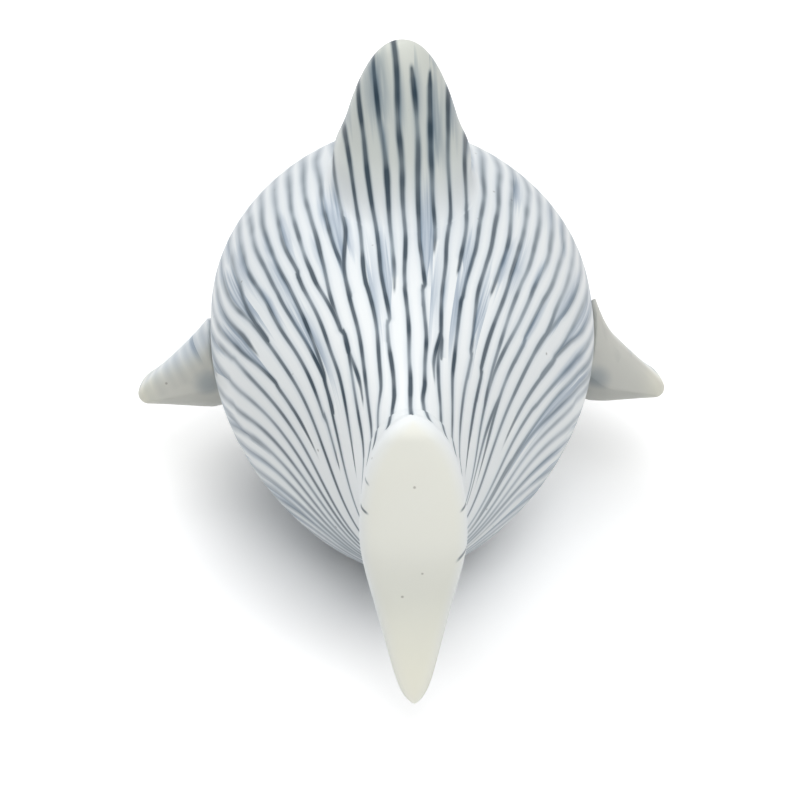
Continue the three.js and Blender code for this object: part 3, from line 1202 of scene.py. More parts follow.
class Recipe:
    """The node tree of one finish or of the backdrop."""

    def __init__(self, owner: bpy.types.Material | bpy.types.World) -> None:
        """Starts with an empty tree.

        Args:
            owner: the material or world that the tree belongs to.
        """
        owner.use_nodes = True
        self.tree = owner.node_tree
        self.tree.nodes.clear()

    def node(
        self, kind: str, settings: dict[str, object], sockets: dict[str | int, object]
    ) -> bpy.types.Node:
        """Adds a node.

        Args:
            kind: the node's type.
            settings: its own settings, set first.
            sockets: values or links of its inputs, by name or number.

        Returns:
            The node.
        """
        made = self.tree.nodes.new(kind)
        for key, setting in settings.items():
            setattr(made, key, setting)
        for key, content in sockets.items():
            source = content.socket if isinstance(content, Value) else content
            if isinstance(source, bpy.types.NodeSocket):
                self.tree.links.new(source, made.inputs[key])
            else:
                made.inputs[key].default_value = source
        return made

    def math(self, operation: str, *numbers: Value | float) -> Value:
        """A Math node on up to three numbers."""
        made = self.node("ShaderNodeMath", {"operation": operation}, dict(enumerate(numbers)))
        return Value(self, made.outputs[0])

    def split(self, vector: bpy.types.NodeSocket) -> tuple[Value, Value, Value]:
        """The three numbers of a vector."""
        made = self.node("ShaderNodeSeparateXYZ", {}, {"Vector": vector})
        return tuple(Value(self, output) for output in made.outputs)

    def vector(self, *numbers: Value | float) -> bpy.types.NodeSocket:
        """A vector of three numbers."""
        return self.node("ShaderNodeCombineXYZ", {}, dict(enumerate(numbers))).outputs[0]

    def place(self) -> bpy.types.NodeSocket:
        """The point itself, in the piece's own frame."""
        return self.node("ShaderNodeTexCoord", {}, {}).outputs["Object"]

    def distance(self, vector: bpy.types.NodeSocket, place: Sequence[float]) -> Value:
        """Distance of a vector from a place."""
        made = self.node("ShaderNodeVectorMath", {"operation": "DISTANCE"}, {0: vector, 1: place})
        return Value(self, made.outputs["Value"])

    def attribute(self, name: str) -> tuple[Value, Value, Value]:
        """The three numbers that a piece carries under a name."""
        return self.split(self.node("ShaderNodeAttribute", {"attribute_name": name}, {}).outputs["Vector"])

    def chance(self, key: Value, draw: Draw) -> tuple[Value, Value, Value]:
        """Three chance numbers from 0 to 1, the same wherever the key and the draw are the same.

        Args:
            key: number of a line.
            draw: which set of chance numbers.

        Returns:
            The numbers.
        """
        keys = {"Vector": self.vector(key, draw.value, 0.0)}
        made = self.node("ShaderNodeTexWhiteNoise", {"noise_dimensions": "2D"}, keys)
        return self.split(made.outputs["Color"])

    def noise(self, vector: bpy.types.NodeSocket, scale: float, detail: float, size: str = "3D") -> Value:
        """Smooth chance from about 0 to 1.

        Args:
            vector: what it varies with.
            scale: number of waves over a length of 1.
            detail: number of finer waves on top.
            size: how many numbers of the vector count, as the node names it.

        Returns:
            The number.
        """
        sockets = {"Vector": vector, "Scale": scale, "Detail": detail}
        return Value(self, self.node("ShaderNodeTexNoise", {"noise_dimensions": size}, sockets).outputs[0])

    def drift(self, first: Value, second: Value, detail: float = 0.0) -> Value:
        """Smooth chance from about -0.5 to 0.5 over two keys."""
        return self.noise(self.vector(first, second, 0.0), 1.0, detail, "2D") - 0.5

    def blend(self, share: Value, first: object, second: object) -> bpy.types.NodeSocket:
        """A colour between two others."""
        return self.node("ShaderNodeMix", {"data_type": "RGBA"}, {0: share, 6: first, 7: second}).outputs[2]

    def stain(self, first: object, second: object) -> bpy.types.NodeSocket:
        """A colour seen through another."""
        settings = {"data_type": "RGBA", "blend_type": "MULTIPLY"}
        return self.node("ShaderNodeMix", settings, {0: 1.0, 6: first, 7: second}).outputs[2]

    def mix(self, share: Value, first: bpy.types.Node, second: bpy.types.Node) -> bpy.types.Node:
        """A shader between two others."""
        return self.node("ShaderNodeMixShader", {}, {0: share, 1: first.outputs[0], 2: second.outputs[0]})


@dataclass(frozen=True)
class Zones:
    """Where the paint spread under the glaze, where the back fin begins, and the hairs of the brush.

    The paint spread more and more towards the head and low down: the measure is a share of Y, less Z.
    The hairs are counted from one front line to the next.
    """

    forward_share: float = 0.866
    crisp: float = -80 * MM
    soft: float = -22 * MM
    fin_from: float = 53 * MM
    fin_to: float = 63 * MM
    hairs: float = 5.0
    hair_length: float = 16 * MM


@dataclass(frozen=True)
class Canvas:
    """What the painter reads off each point of a piece.

    Attributes:
        recipe: the tree of the finish.
        zones: places that the paint depends on.
        place: the point itself.
        x, y, z: its three numbers.
        flow: number of the rear line.
        gap: distance from one rear line to the next.
        along: distance along the lines.
        bare: share bare of paint.
        thin: share thin enough for a painted glow.
        past: distance past the last edge.
        soft: how far the glaze has let the paint spread, from 0 at the tail to 1 at the sides.
        raised: how far up the back fin, from 0 to 1.
    """

    recipe: Recipe
    zones: Zones
    place: bpy.types.NodeSocket
    x: Value
    y: Value
    z: Value
    flow: Value
    gap: Value
    along: Value
    bare: Value
    thin: Value
    past: Value
    soft: Value
    raised: Value

    @classmethod
    def of(cls, recipe: Recipe, zones: Zones) -> "Canvas":
        """The canvas of a finish.

        Args:
            recipe: the tree of the finish.
            zones: places that the paint depends on.

        Returns:
            The canvas.
        """
        place = recipe.place()
        x, y, z = recipe.split(place)
        soft = (y * zones.forward_share - z).eased(zones.crisp, zones.soft)
        raised = z.eased(zones.fin_from, zones.fin_to)
        carried = recipe.attribute("brush") + recipe.attribute("glaze")
        return cls(recipe, zones, place, x, y, z, *carried, soft, raised)

    def side_fin(self) -> Value:
        """1 on the side fins, whose lines have numbers of their own, else 0."""
        return abs(self.flow) > Pectoral.first_line / 2

    def away(self, place: Sequence[float]) -> Value:
        """Distance from a place on the right, or on the left from its mirror image."""
        return self.recipe.distance(self.recipe.vector(abs(self.x), self.y, self.z), place)

    def streaks(self, number: Value) -> Value:
        """Smooth chance drawn out along the lines, as the hairs of a brush leave it."""
        return self.recipe.drift(number * self.zones.hairs, self.along / self.zones.hair_length, 1.0)


@dataclass(frozen=True)
class Stroke:
    """One line of the brush: how wide, dark and steady it is."""

    half_width: float = 0.30 * MM
    edge: float = 0.17 * MM
    least_width: float = 0.45
    full_width: float = 0.58
    wet_width: float = 0.7
    ink: float = 0.86
    wet_ink: float = 0.8
    most_ink: float = 0.96
    sway: float = 0.85 * MM
    sway_length: float = 12 * MM
    sway_step: float = 3.7
    load_length: float = 7 * MM
    load_step: float = 2.3
    load_from: float = 60.0
    soft_edge: float = 1.5 * MM
    soft_ink: float = 0.45
    soft_spread: float = 0.75
    fin_spread: float = 0.5
    fin_edge: float = 0.12 * MM
    fin_ink: float = 0.7
    right_fade: float = 0.2
    right_from: float = 2.0
    right_to: float = 8.0
    whole: float = 0.4
    lost: float = 4 * MM

    def draw(self, canvas: Canvas, off: Value, key: Value, life: Value) -> tuple[Value, Value]:
        """One line's ink at a point.

        The line sways by smooth chance, is wetter in some places than in others, and narrows where
        its life runs out. It widens and pales where the paint spread, and is paler on the right.

        Args:
            canvas: the point.
            off: distance from the line's own course.
            key: the line's number.
            life: 1 along the line, falling to 0 past its ends.

        Returns:
            Ink from 0 to 1, and distance from the line's middle, large past its ends.
        """
        drift, along, soft, raised = canvas.recipe.drift, canvas.along, canvas.soft, canvas.raised
        sway = drift(key * self.sway_step, along / self.sway_length) * self.sway
        wet = drift(key * self.load_step + self.load_from, along / self.load_length, 1.0)
        away = abs(off - sway)
        spread = (1.0 + soft * self.soft_spread) * (1.0 + raised * self.fin_spread)
        width = self.least_width + life * self.full_width + wet * self.wet_width
        half = width * spread * self.half_width
        edge = self.edge + soft * soft * self.soft_edge + raised * self.fin_edge
        mark = away.eased(half + edge, half - edge)
        faded = soft * (1.0 - raised * self.fin_ink) * (1.0 - self.soft_ink)
        paler = canvas.flow.eased(self.right_from, self.right_to) * (1.0 - raised) * self.right_fade
        strength = (self.ink + wet * self.wet_ink).least(self.most_ink) * (1.0 - faded) * (1.0 - paler)
        return mark * strength * life.eased(0.0, self.whole), away + (1.0 - life) * self.lost


@dataclass(frozen=True)
class Joins:
    """How the front lines turn to the rear lines that they end in."""

    ratio: float
    nearest: float = -10 * MM
    spread: float = 25 * MM
    length: float = 12 * MM

    def turn(self, canvas: Canvas, rear: Value) -> tuple[Value, Value, Value]:
        """Where the front lines that end in a rear line turn to it, and two more chance numbers."""
        early, side, merge = canvas.recipe.chance(rear, Draw.JOIN)
        return self.nearest - early * self.spread, side, merge

    def shared(self, key: Value, rear: Value) -> Value:
        """1 where a front line makes for that rear line, else 0."""
        return 1.0 - abs((key * self.ratio).nearest() - rear).least(1.0)


@dataclass(frozen=True)
class FrontLines:
    """The front set, from the head to where each line turns to a rear one."""

    stroke: Stroke
    joins: Joins
    jog: float
    even: float = 0.5
    short_from: float = -8 * MM
    short_spread: float = 14 * MM
    hook_length: float = 1.4 * MM
    head_end: float = 26 * MM
    head_spread: float = 16 * MM
    head_step: float = 8 * MM
    head_taper: float = 10 * MM
    overlap: float = 1 * MM
    joined_overlap: float = 3 * MM
    end_taper: float = 1.2 * MM
    loose_taper: float = 4 * MM
    tip_short: float = 3.6 * MM
    tip_spread: float = 3 * MM
    tip_out: float = 2.4 * MM
    tip_in: float = -0.8 * MM
    spare_keys: float = 400.0

    def draw(self, canvas: Canvas, parity: int) -> tuple[Value, Value]:
        """Every second line of the set.

        Each turns to the nearest rear line. Where two make for the same one, the first to be chosen
        runs on and the other joins it or just ends. On the back fin they stop short of the tip, and
        sooner on its right.

        Args:
            canvas: the point.
            parity: 0 for the even lines, 1 for the odd ones.

        Returns:
            Ink from 0 to 1, and distance from the line.
        """
        along, joins, chance = canvas.along, self.joins, canvas.recipe.chance
        number = canvas.flow / joins.ratio
        key = ((number - parity) * 0.5).nearest() * 2.0 + parity
        rear = (key * joins.ratio).nearest()
        turn, side, merge = joins.turn(canvas, rear)
        stop, short, _ = chance(key, Draw.STOP)
        jog, _, _ = chance(rear, Draw.JOG)
        first = joins.shared(key + 1.0, rear) * (side > self.even)
        spare = first + joins.shared(key - 1.0, rear) * (side < self.even)
        ends = spare * (merge < self.even)
        joined = 1.0 - ends
        moved = along.eased(turn, turn - joins.length) * joined * (rear / joins.ratio - key)
        end = turn - joined * joins.length + ends * (short * self.short_spread + self.short_from)
        hook = (jog - 0.5) * joined * along.eased(end + self.hook_length, end) * self.jog
        head = self.head_end + stop * self.head_spread - parity * self.head_step
        last = end - self.overlap - joined * self.joined_overlap
        life = along.eased(last, last + self.end_taper + ends * self.loose_taper)
        life = life * along.eased(head, head - self.head_taper)
        tip = (key > 0.5) * (self.tip_short + stop * self.tip_spread)
        life = life * canvas.past.eased(self.tip_out - tip, self.tip_in - tip)
        own = rear + spare * (key + self.spare_keys - rear)
        off = (number - key - moved) * canvas.gap * joins.ratio - hook
        return self.stroke.draw(canvas, off, own, life)


@dataclass(frozen=True)
class RearLines:
    """The rear set, from where the front lines end to the rim of the tail."""

    stroke: Stroke
    joins: Joins
    jog: float
    lead: float = 2 * MM
    lead_full: float = -0.5 * MM
    settle: float = 12 * MM
    stop: float = -0.9 * MM
    stop_spread: float = 0.8 * MM
    crest_stop: float = 1.7 * MM
    crest_from: float = 5.0
    crest_to: float = 2.0
    low_stop: float = 3 * MM
    low_from: float = 22 * MM
    low_to: float = 15 * MM
    finish_out: float = 0.3 * MM
    finish_in: float = -1.2 * MM
    smear_out: float = 2.2 * MM
    smear_in: float = 1 * MM
    smear_odds: float = 0.4
    smear_ink: float = 0.12
    side_from: float = 37 * MM
    side_to: float = 31 * MM
    side_end: float = -34 * MM
    side_spread: float = 14 * MM
    side_taper: float = 5 * MM
    kink: float = 1.2 * MM
    kink_from: float = -38 * MM
    kink_spread: float = 16 * MM
    kink_length: float = 5 * MM
    kink_rim: float = -4 * MM

    def draw(self, canvas: Canvas) -> tuple[Value, Value]:
        """All lines of the set.

        Each has a kink somewhere, ends near the rim, and may leave a faint smear past its end. Low on
        the sides, where they close up, every second one ends before the stem.

        Args:
            canvas: the point.

        Returns:
            Ink from 0 to 1, and distance from the line.
        """
        along, past, height = canvas.along, canvas.past, canvas.z
        key = canvas.flow.nearest()
        turn, _, _ = self.joins.turn(canvas, key)
        jog, stop, bend = canvas.recipe.chance(key, Draw.JOG)
        where, smear, _ = canvas.recipe.chance(key, Draw.RIM)
        start = turn - self.joins.length
        crest = abs(key).eased(self.crest_from, self.crest_to)
        low = height.eased(self.low_from, self.low_to)
        end = stop * self.stop_spread + self.stop - crest * self.crest_stop - low * self.low_stop
        finish = past.eased(end + self.finish_out, end + self.finish_in)
        smeared = past.eased(end + self.smear_out, end + self.smear_in)
        finish = finish.greatest(smeared * (smear < self.smear_odds) * self.smear_ink)
        life = along.eased(start + self.lead, start + self.lead_full) * finish
        odd = key * 0.5 - (key * 0.5).floor() > 0.25
        last = self.side_end - where * self.side_spread
        ended = height.eased(self.side_from, self.side_to) * along.eased(last, last - self.side_taper)
        life = life * (1.0 - odd * ended)
        settled = along.eased(start - self.settle, start)
        place = self.kink_from - where * self.kink_spread
        bent = along.eased(place, place - self.kink_length) * past.eased(0.0, self.kink_rim)
        off = (canvas.flow - key) * canvas.gap - (jog - 0.5) * settled * self.jog
        return self.stroke.draw(canvas, off - (bend - 0.5) * bent * self.kink, key, life)


@dataclass(frozen=True)
class Dashes:
    """Short strokes on the edge of the tail's face, bending down as they run in from the rim."""

    stroke: Stroke
    outer: float = 0.3 * MM
    outer_full: float = 0.8 * MM
    length: float = 1.5 * MM
    spread: float = 1 * MM
    right_more: float = 0.4 * MM
    end_out: float = 0.5 * MM
    end_in: float = -0.4 * MM
    low: float = 18 * MM
    high: float = 42 * MM
    fade: float = 3 * MM
    least_chance: float = 0.68
    right_chance: float = 0.5
    fullness: float = 0.3
    fall: float = 0.5
    own_keys: float = 1200.0

    def draw(self, canvas: Canvas) -> tuple[Value, Value]:
        """All the dashes, more of them and longer ones on the right.

        Args:
            canvas: the point.

        Returns:
            Ink from 0 to 1, and distance from the line.
        """
        past, height = canvas.past, canvas.z
        key = canvas.flow.nearest()
        _, present, long = canvas.recipe.chance(key, Draw.RIM)
        right = key > 0.0
        inner = long * self.spread + self.length + right * self.right_more
        life = past.eased(self.outer, self.outer_full)
        life = life * past.eased(inner + self.end_out, inner + self.end_in)
        life = life * height.eased(self.low, self.low + self.fade)
        life = life * height.eased(self.high, self.high - self.fade)
        life = life * (present > self.least_chance - right * self.right_chance) * self.fullness
        course = (right * 2.0 - 1.0) * past.greatest(0.0) * self.fall
        off = (canvas.flow - key) * canvas.gap - course
        return self.stroke.draw(canvas, off, key + self.own_keys, life)


@dataclass(frozen=True)
class Forks:
    """Short strokes that leave a rear line and run out between it and the next."""

    stroke: Stroke
    nearest: float = -36 * MM
    spread: float = 20 * MM
    lead: float = 1 * MM
    lead_full: float = -2 * MM
    swing: float = 9 * MM
    taper_from: float = 7 * MM
    length: float = 13 * MM
    rim_out: float = -0.5 * MM
    rim_in: float = -2 * MM
    odds: float = 0.24
    even: float = 0.5
    reach: float = 0.52
    own_keys: float = 800.0

    def draw(self, canvas: Canvas) -> tuple[Value, Value]:
        """All the forks, at most one beside each line.

        Args:
            canvas: the point.

        Returns:
            Ink from 0 to 1, and distance from the line.
        """
        along = canvas.along
        key = canvas.flow.floor()
        place, side, present = canvas.recipe.chance(key, Draw.FORK)
        start = self.nearest - place * self.spread
        progress = along.eased(start, start - self.swing)
        across = canvas.flow - key
        from_line = across + (side > self.even) * (1.0 - across * 2.0)
        life = along.eased(start + self.lead, start + self.lead_full)
        life = life * along.eased(start - self.length, start - self.taper_from)
        life = life * canvas.past.eased(self.rim_out, self.rim_in) * (present < self.odds)
        off = (from_line - progress * self.reach) * canvas.gap
        return self.stroke.draw(canvas, off, key + self.own_keys, life)


@dataclass(frozen=True)
class Wedges:
    """Wet ink run together between two front lines that close in on each other."""

    joins: Joins
    top_from: float = -4 * MM
    top_spread: float = 12 * MM
    top_fade: float = 9 * MM
    top_full: float = -4 * MM
    top_ragged: float = 12 * MM
    length: float = 13.2 * MM
    end_fade: float = -3 * MM
    end_full: float = 4 * MM
    end_ragged: float = 8 * MM
    margin: float = 0.02
    rim: float = 0.12
    odds: float = 0.8
    depth: float = 0.7
    ragged: float = 1.6

    def draw(self, canvas: Canvas) -> Value:
        """Depth of the wedges at a point, with ends as ragged as the hairs of the brush.

        Args:
            canvas: the point.

        Returns:
            Depth, from 0.
        """
        along, joins = canvas.along, self.joins
        number = canvas.flow / joins.ratio
        key = number.floor()
        rear = (key * joins.ratio).nearest()
        turn, _, _ = joins.turn(canvas, rear)
        long, present, _ = canvas.recipe.chance(rear, Draw.WEDGE)
        closed = along.eased(turn, turn - joins.length)
        width = 1.0 + self.margin - closed
        across = (number - key - (rear / joins.ratio - key) * closed) / width
        inside = across.eased(-self.margin, self.rim) * across.eased(1.0 + self.margin, 1.0 - self.rim)
        streaks = canvas.streaks(number)
        top = turn + long * self.top_spread + self.top_from + streaks * self.top_ragged
        bottom = turn - self.length - streaks * self.end_ragged
        span = along.eased(top + self.top_fade, top + self.top_full)
        span = span * along.eased(bottom + self.end_fade, bottom + self.end_full)
        shape = joins.shared(key + 1.0, rear) * inside * span * (present < self.odds)
        return shape * (self.depth + streaks * self.ragged).greatest(0.0)


@dataclass(frozen=True)
class Washes:
    """Pale streaks where a wet brush went beside a front line, fading away from it and at their ends."""

    ratio: float
    draw_place: Draw
    draw_side: Draw
    centre: float
    spread: float
    odds: float
    least_reach: float = 4 * MM
    more_reach: float = 6 * MM
    end_ragged: float = 1.6
    end_out: float = 1.15
    end_in: float = 0.1
    least_width: float = 0.5
    more_width: float = 0.6
    even: float = 0.5
    depth: float = 0.8
    ragged: float = 1.2
    least_depth: float = 0.6
    more_depth: float = 0.8

    def draw(self, canvas: Canvas) -> Value:
        """Depth of the streaks at a point, at most one beside each line.

        Args:
            canvas: the point.

        Returns:
            Depth, from 0.
        """
        number = canvas.flow / self.ratio
        key = number.floor()
        place, size, present = canvas.recipe.chance(key, self.draw_place)
        hug, deep, _ = canvas.recipe.chance(key, self.draw_side)
        middle = self.centre + (place - 0.5) * self.spread
        reach = self.least_reach + size * self.more_reach
        streaks = canvas.streaks(number)
        ends = abs(canvas.along - middle) / reach + streaks * self.end_ragged
        across = number - key
        beside = across + (hug > self.even) * (1.0 - across * 2.0)
        width = beside.eased(self.least_width + size * self.more_width, 0.0)
        shape = ends.eased(self.end_out, self.end_in) * width * (present < self.odds)
        wet = (self.depth + streaks * self.ragged).greatest(0.0)
        return shape * wet * (self.least_depth + deep * self.more_depth)


@dataclass(frozen=True)
class Markings:
    """The painted eyes and the line of the mouth, the same on both sides."""

    eye_y: float = 40 * MM
    eye_turn: float = math.radians(66)
    pupil: float = 1.375 * MM
    pupil_edge: float = 0.125 * MM
    ring: float = 2.35 * MM
    ring_half: float = 0.19 * MM
    ring_edge: float = 0.07 * MM
    mouth_height: float = 12.5 * MM
    mouth_rise: float = 0.22
    mouth_half: float = 0.23 * MM
    mouth_edge: float = 0.09 * MM
    mouth_from: float = 37 * MM
    mouth_full: float = 40 * MM

    def draw(self, canvas: Canvas, body: Body) -> Value:
        """Ink of the eyes and the mouth at a point.

        Args:
            canvas: the point.
            body: the body that they are painted on.

        Returns:
            Ink from 0 to 1.
        """

        def disc(away: Value, half: float, edge: float) -> Value:
            """1 within a half width, with a soft edge."""
            return away.eased(half + edge, half - edge)

        away = canvas.away(body.point(np.array(self.eye_y), np.array(self.eye_turn)).tolist())
        pupil = disc(away, self.pupil, self.pupil_edge)
        ring = disc(abs(away - self.ring), self.ring_half, self.ring_edge)
        course = (canvas.y - body.head_length) * self.mouth_rise + self.mouth_height
        mouth = disc(abs(canvas.z - course), self.mouth_half, self.mouth_edge)
        return pupil.greatest(ring).greatest(mouth * canvas.y.eased(self.mouth_from, self.mouth_full))


@dataclass(frozen=True)
class Painter:
    """All the brushwork: ink in lines, and paler stains of it round about."""

    lines: Lines
    stroke: Stroke = Stroke()
    markings: Markings = Markings()
    jog: float = 0.9 * MM
    side_fin_ink: float = 0.38
    wash_depth: float = 0.19
    halo: float = 1.1 * MM
    halo_spread: float = 0.6
    halo_depth: float = 0.06
    tint_from: float = -36 * MM
    tint_to: float = -20 * MM
    tint_right: Pair = (6.0, 1.0)
    tint_left: Pair = (-11.0, -7.0)
    tint_depth: float = 0.018
    dab_place: Triple = (30.5 * MM, -6.5 * MM, 20 * MM)
    dab_out: float = 3.2 * MM
    dab_in: float = 0.6 * MM
    dab_depth: float = 0.11

    @property
    def joins(self) -> Joins:
        """How the two sets of lines meet."""
        return Joins(self.lines.ratio)

    def ink(self, canvas: Canvas, body: Body) -> tuple[Value, Value]:
        """All lines and markings at a point.

        Args:
            canvas: the point.
            body: the body, for the places of the markings.

        Returns:
            Ink from 0 to 1, and distance from the nearest line.
        """
        front = FrontLines(self.stroke, self.joins, self.jog)
        ink, away = RearLines(self.stroke, self.joins, self.jog).draw(canvas)
        others = (
            front.draw(canvas, 0),
            front.draw(canvas, 1),
            Forks(self.stroke).draw(canvas),
            Dashes(self.stroke).draw(canvas),
        )
        for mark, off in others:
            ink = ink.greatest(mark)
            away = away.least(off)
        ink = ink * (1.0 - canvas.side_fin() * (1.0 - self.side_fin_ink))
        return ink.greatest(self.markings.draw(canvas, body)), away

    def stain(self, canvas: Canvas, away: Value) -> Value:
        """How deep the ground is stained: washes, halos of the lines, a tint of the back, and two dabs.

        Args:
            canvas: the point.
            away: distance from the nearest line.

        Returns:
            Depth, from 0.
        """
        ratio = self.lines.ratio
        draws = (Draw.BACK_WASH, Draw.BACK_SIDE)
        back = Washes(ratio, *draws, centre=-26 * MM, spread=28 * MM, odds=0.5)
        draws = (Draw.SHOULDER_WASH, Draw.SHOULDER_SIDE)
        shoulder = Washes(ratio, *draws, centre=-2 * MM, spread=26 * MM, odds=0.7)
        draws = (Draw.FIN_WASH, Draw.FIN_SIDE)
        fin = Washes(ratio, *draws, centre=7 * MM, spread=18 * MM, odds=0.8)
        wash = back.draw(canvas).greatest(shoulder.draw(canvas))
        wash = wash.greatest(fin.draw(canvas) * canvas.raised)
        wash = wash.greatest(Wedges(self.joins).draw(canvas))
        halo = away.eased(self.halo * (1.0 + canvas.soft * self.halo_spread), 0.0)
        tint = canvas.along.eased(self.tint_from, self.tint_to) * (1.0 - canvas.raised)
        tint = tint * canvas.flow.eased(*self.tint_right) * canvas.flow.eased(*self.tint_left)
        depth = wash * self.wash_depth + halo * self.halo_depth + tint * self.tint_depth
        dab = canvas.away(self.dab_place).eased(self.dab_out, self.dab_in)
        return depth * (1.0 - canvas.bare) + dab * self.dab_depth


@dataclass(frozen=True)
class Glaze:
    """Glazed porcelain with brush-painted lines under the glaze. Colours are linear."""

    slot: Slot
    painter: Painter
    zones: Zones = Zones()
    white: Colour = (0.858, 0.890, 0.900, 1.0)
    cream: Colour = (0.862, 0.868, 0.795, 1.0)
    # Warm: the clouded glaze's own tone, and also the colour of a painted glow where the porcelain is thin.
    warm_tone_and_glow: Colour = (0.870, 0.850, 0.700, 1.0)
    # Colour of a painted shade band on the bare faces, between about 6 and 33 mm up.
    painted_shade: Colour = (0.700, 0.720, 0.640, 1.0)
    # Painted shade for the back fin's ground.
    painted_fin_shade: Colour = (0.600, 0.635, 0.605, 1.0)
    # Painted shade for the side fins' bare rear faces.
    painted_side_fin_shade: Colour = (0.610, 0.610, 0.565, 1.0)
    biscuit: Colour = (0.700, 0.665, 0.590, 1.0)
    ink: Colour = (0.006, 0.028, 0.050, 1.0)
    thin_ink: Colour = (0.070, 0.120, 0.165, 1.0)
    ink_thins: Pair = (0.35, 0.95)
    clear: Triple = (0.019, 0.036, 0.078)
    speck: Colour = (0.160, 0.140, 0.110, 1.0)
    speck_scale: float = 190.0
    speck_size: Pair = (0.055, 0.02)
    speck_share: float = 0.5
    # Heights of the painted shade band, and how much of it shows.
    painted_shade_top: Pair = (33 * MM, 20 * MM)
    painted_shade_bottom: Pair = (6 * MM, 14 * MM)
    painted_shade_share: float = 0.35
    # How strong the painted glow is, and how much less of it on the back fin.
    painted_glow_share: float = 0.5
    fin_painted_glow_loss: float = 0.3
    cloud_scale: float = 45.0
    cloud_level: float = 0.45
    cloud_share: float = 0.5
    foot: Pair = (0.5 * MM, 0.1 * MM)
    roughness: float = 0.40
    biscuit_roughness: float = 0.75
    cloud_roughness: float = 0.12
    ink_roughness: float = 0.05
    coat: float = 0.04
    coat_roughness: float = 0.22
    sheen_level: float = 0.25
    refraction: float = 1.5
    relief: float = 0.5 * MM
    relief_strength: float = 0.35
    waves: float = 60.0
    grain: float = 700.0
    grain_share: float = 0.02
    grit: float = 2500.0
    grit_share: float = 0.04

    def ground(self, canvas: Canvas, cloud: Value) -> bpy.types.NodeSocket:
        """The porcelain before painting: white, cream where bare, painted shade on bare faces and fins, a
        painted warm glow where thin, a few specks.

        Args:
            canvas: the point.
            cloud: smooth chance that clouds the bare glaze.

        Returns:
            The colour.
        """
        recipe, bare, raised = canvas.recipe, canvas.bare, canvas.raised
        # Painted shade: a darker band across the bare faces, full from about 14 to 20 mm up, standing for
        # the shade on the tail's face.
        shade_band = canvas.z.eased(*self.painted_shade_top) * canvas.z.eased(*self.painted_shade_bottom)
        colour = recipe.blend(shade_band * self.painted_shade_share, self.cream, self.painted_shade)
        colour = recipe.blend(bare, self.white, colour)
        # Painted shade: the back fin's ground darkened from its base upwards.
        colour = recipe.blend(raised, colour, self.painted_fin_shade)
        # Painted shade: the side fins' bare rear faces darkened.
        colour = recipe.blend(bare * canvas.side_fin(), colour, self.painted_side_fin_shade)
        # Painted glow: a warm tint where the porcelain is thin, in place of light coming through it; weaker
        # on the back fin.
        glow = canvas.thin * (self.painted_glow_share - raised * self.fin_painted_glow_loss)
        colour = recipe.blend(glow, colour, self.warm_tone_and_glow)
        colour = recipe.blend((cloud - self.cloud_level) * self.cloud_share * bare, colour, self.warm_tone_and_glow)
        sockets = {"Vector": canvas.place, "Scale": self.speck_scale}
        cells = Value(recipe, recipe.node("ShaderNodeTexVoronoi", {}, sockets).outputs["Distance"])
        return recipe.blend(cells.eased(*self.speck_size) * self.speck_share, colour, self.speck)

    def painted(
        self, canvas: Canvas, body: Body, ground: bpy.types.NodeSocket
    ) -> tuple[bpy.types.NodeSocket, Value]:
        """The painted ground: stains let light through by a power of their depth, the lines cover it.

        Args:
            canvas: the point.
            body: the body, for the places of the markings.
            ground: the colour painted on.

        Returns:
            The colour, and the ink from 0 to 1.
        """
        recipe = canvas.recipe
        ink, away = self.painter.ink(canvas, body)
        depth = self.painter.stain(canvas, away)
        through = recipe.vector(*[recipe.math("POWER", share, depth) for share in self.clear])
        pigment = recipe.blend(ink.eased(*self.ink_thins), self.thin_ink, self.ink)
        return recipe.blend(ink, recipe.stain(ground, through), pigment), ink

    def make(self, body: Body) -> bpy.types.Material:
        """Builds the material: porcelain ground, paint, a raw foot, and a soft even glaze.

        Args:
            body: the body, for the places of the markings.

        Returns:
            The material.
        """
        material = bpy.data.materials.new(self.slot.value)
        recipe = Recipe(material)
        canvas = Canvas.of(recipe, self.zones)
        raw = canvas.z.eased(*self.foot)
        cloud = recipe.noise(canvas.place, self.cloud_scale, 2.0)
        painted, ink = self.painted(canvas, body, self.ground(canvas, cloud))
        rough = raw * (self.biscuit_roughness - self.roughness) + ink * self.ink_roughness
        relief = recipe.noise(canvas.place, self.waves, 1.0)
        relief = relief + recipe.noise(canvas.place, self.grain, 1.0) * self.grain_share
        relief = relief + raw * recipe.noise(canvas.place, self.grit, 2.0) * self.grit_share
        sockets = {"Strength": self.relief_strength, "Distance": self.relief, "Height": relief}
        bump = recipe.node("ShaderNodeBump", {}, sockets)
        sockets = {
            "Base Color": recipe.blend(raw, painted, self.biscuit),
            "Roughness": rough + (cloud - 0.5) * self.cloud_roughness + self.roughness,
            "IOR": self.refraction,
            "Specular IOR Level": self.sheen_level,
            "Coat Weight": (1.0 - raw) * self.coat,
            "Coat Roughness": self.coat_roughness,
            "Normal": bump.outputs["Normal"],
        }
        shader = recipe.node("ShaderNodeBsdfPrincipled", {}, sockets)
        recipe.node("ShaderNodeOutputMaterial", {}, {"Surface": shader.outputs[0]})
        return material


@dataclass(frozen=True)
class Lamp:
    """A square softbox aimed at the object; azimuth 0 is behind the tail, 90 on its right."""

    name: str
    level: float
    azimuth: float
    elevation: float
    size: float = 0.8
    distance: float = 0.9
    target: Triple = (0.0, -8 * MM, 18 * MM)


@dataclass(frozen=True)
class TailLamp(Lamp):
    """A small softbox close to the tail's face."""

    size: float = 0.25
    distance: float = 0.33
    target: Triple = (0.0, -68 * MM, 30 * MM)


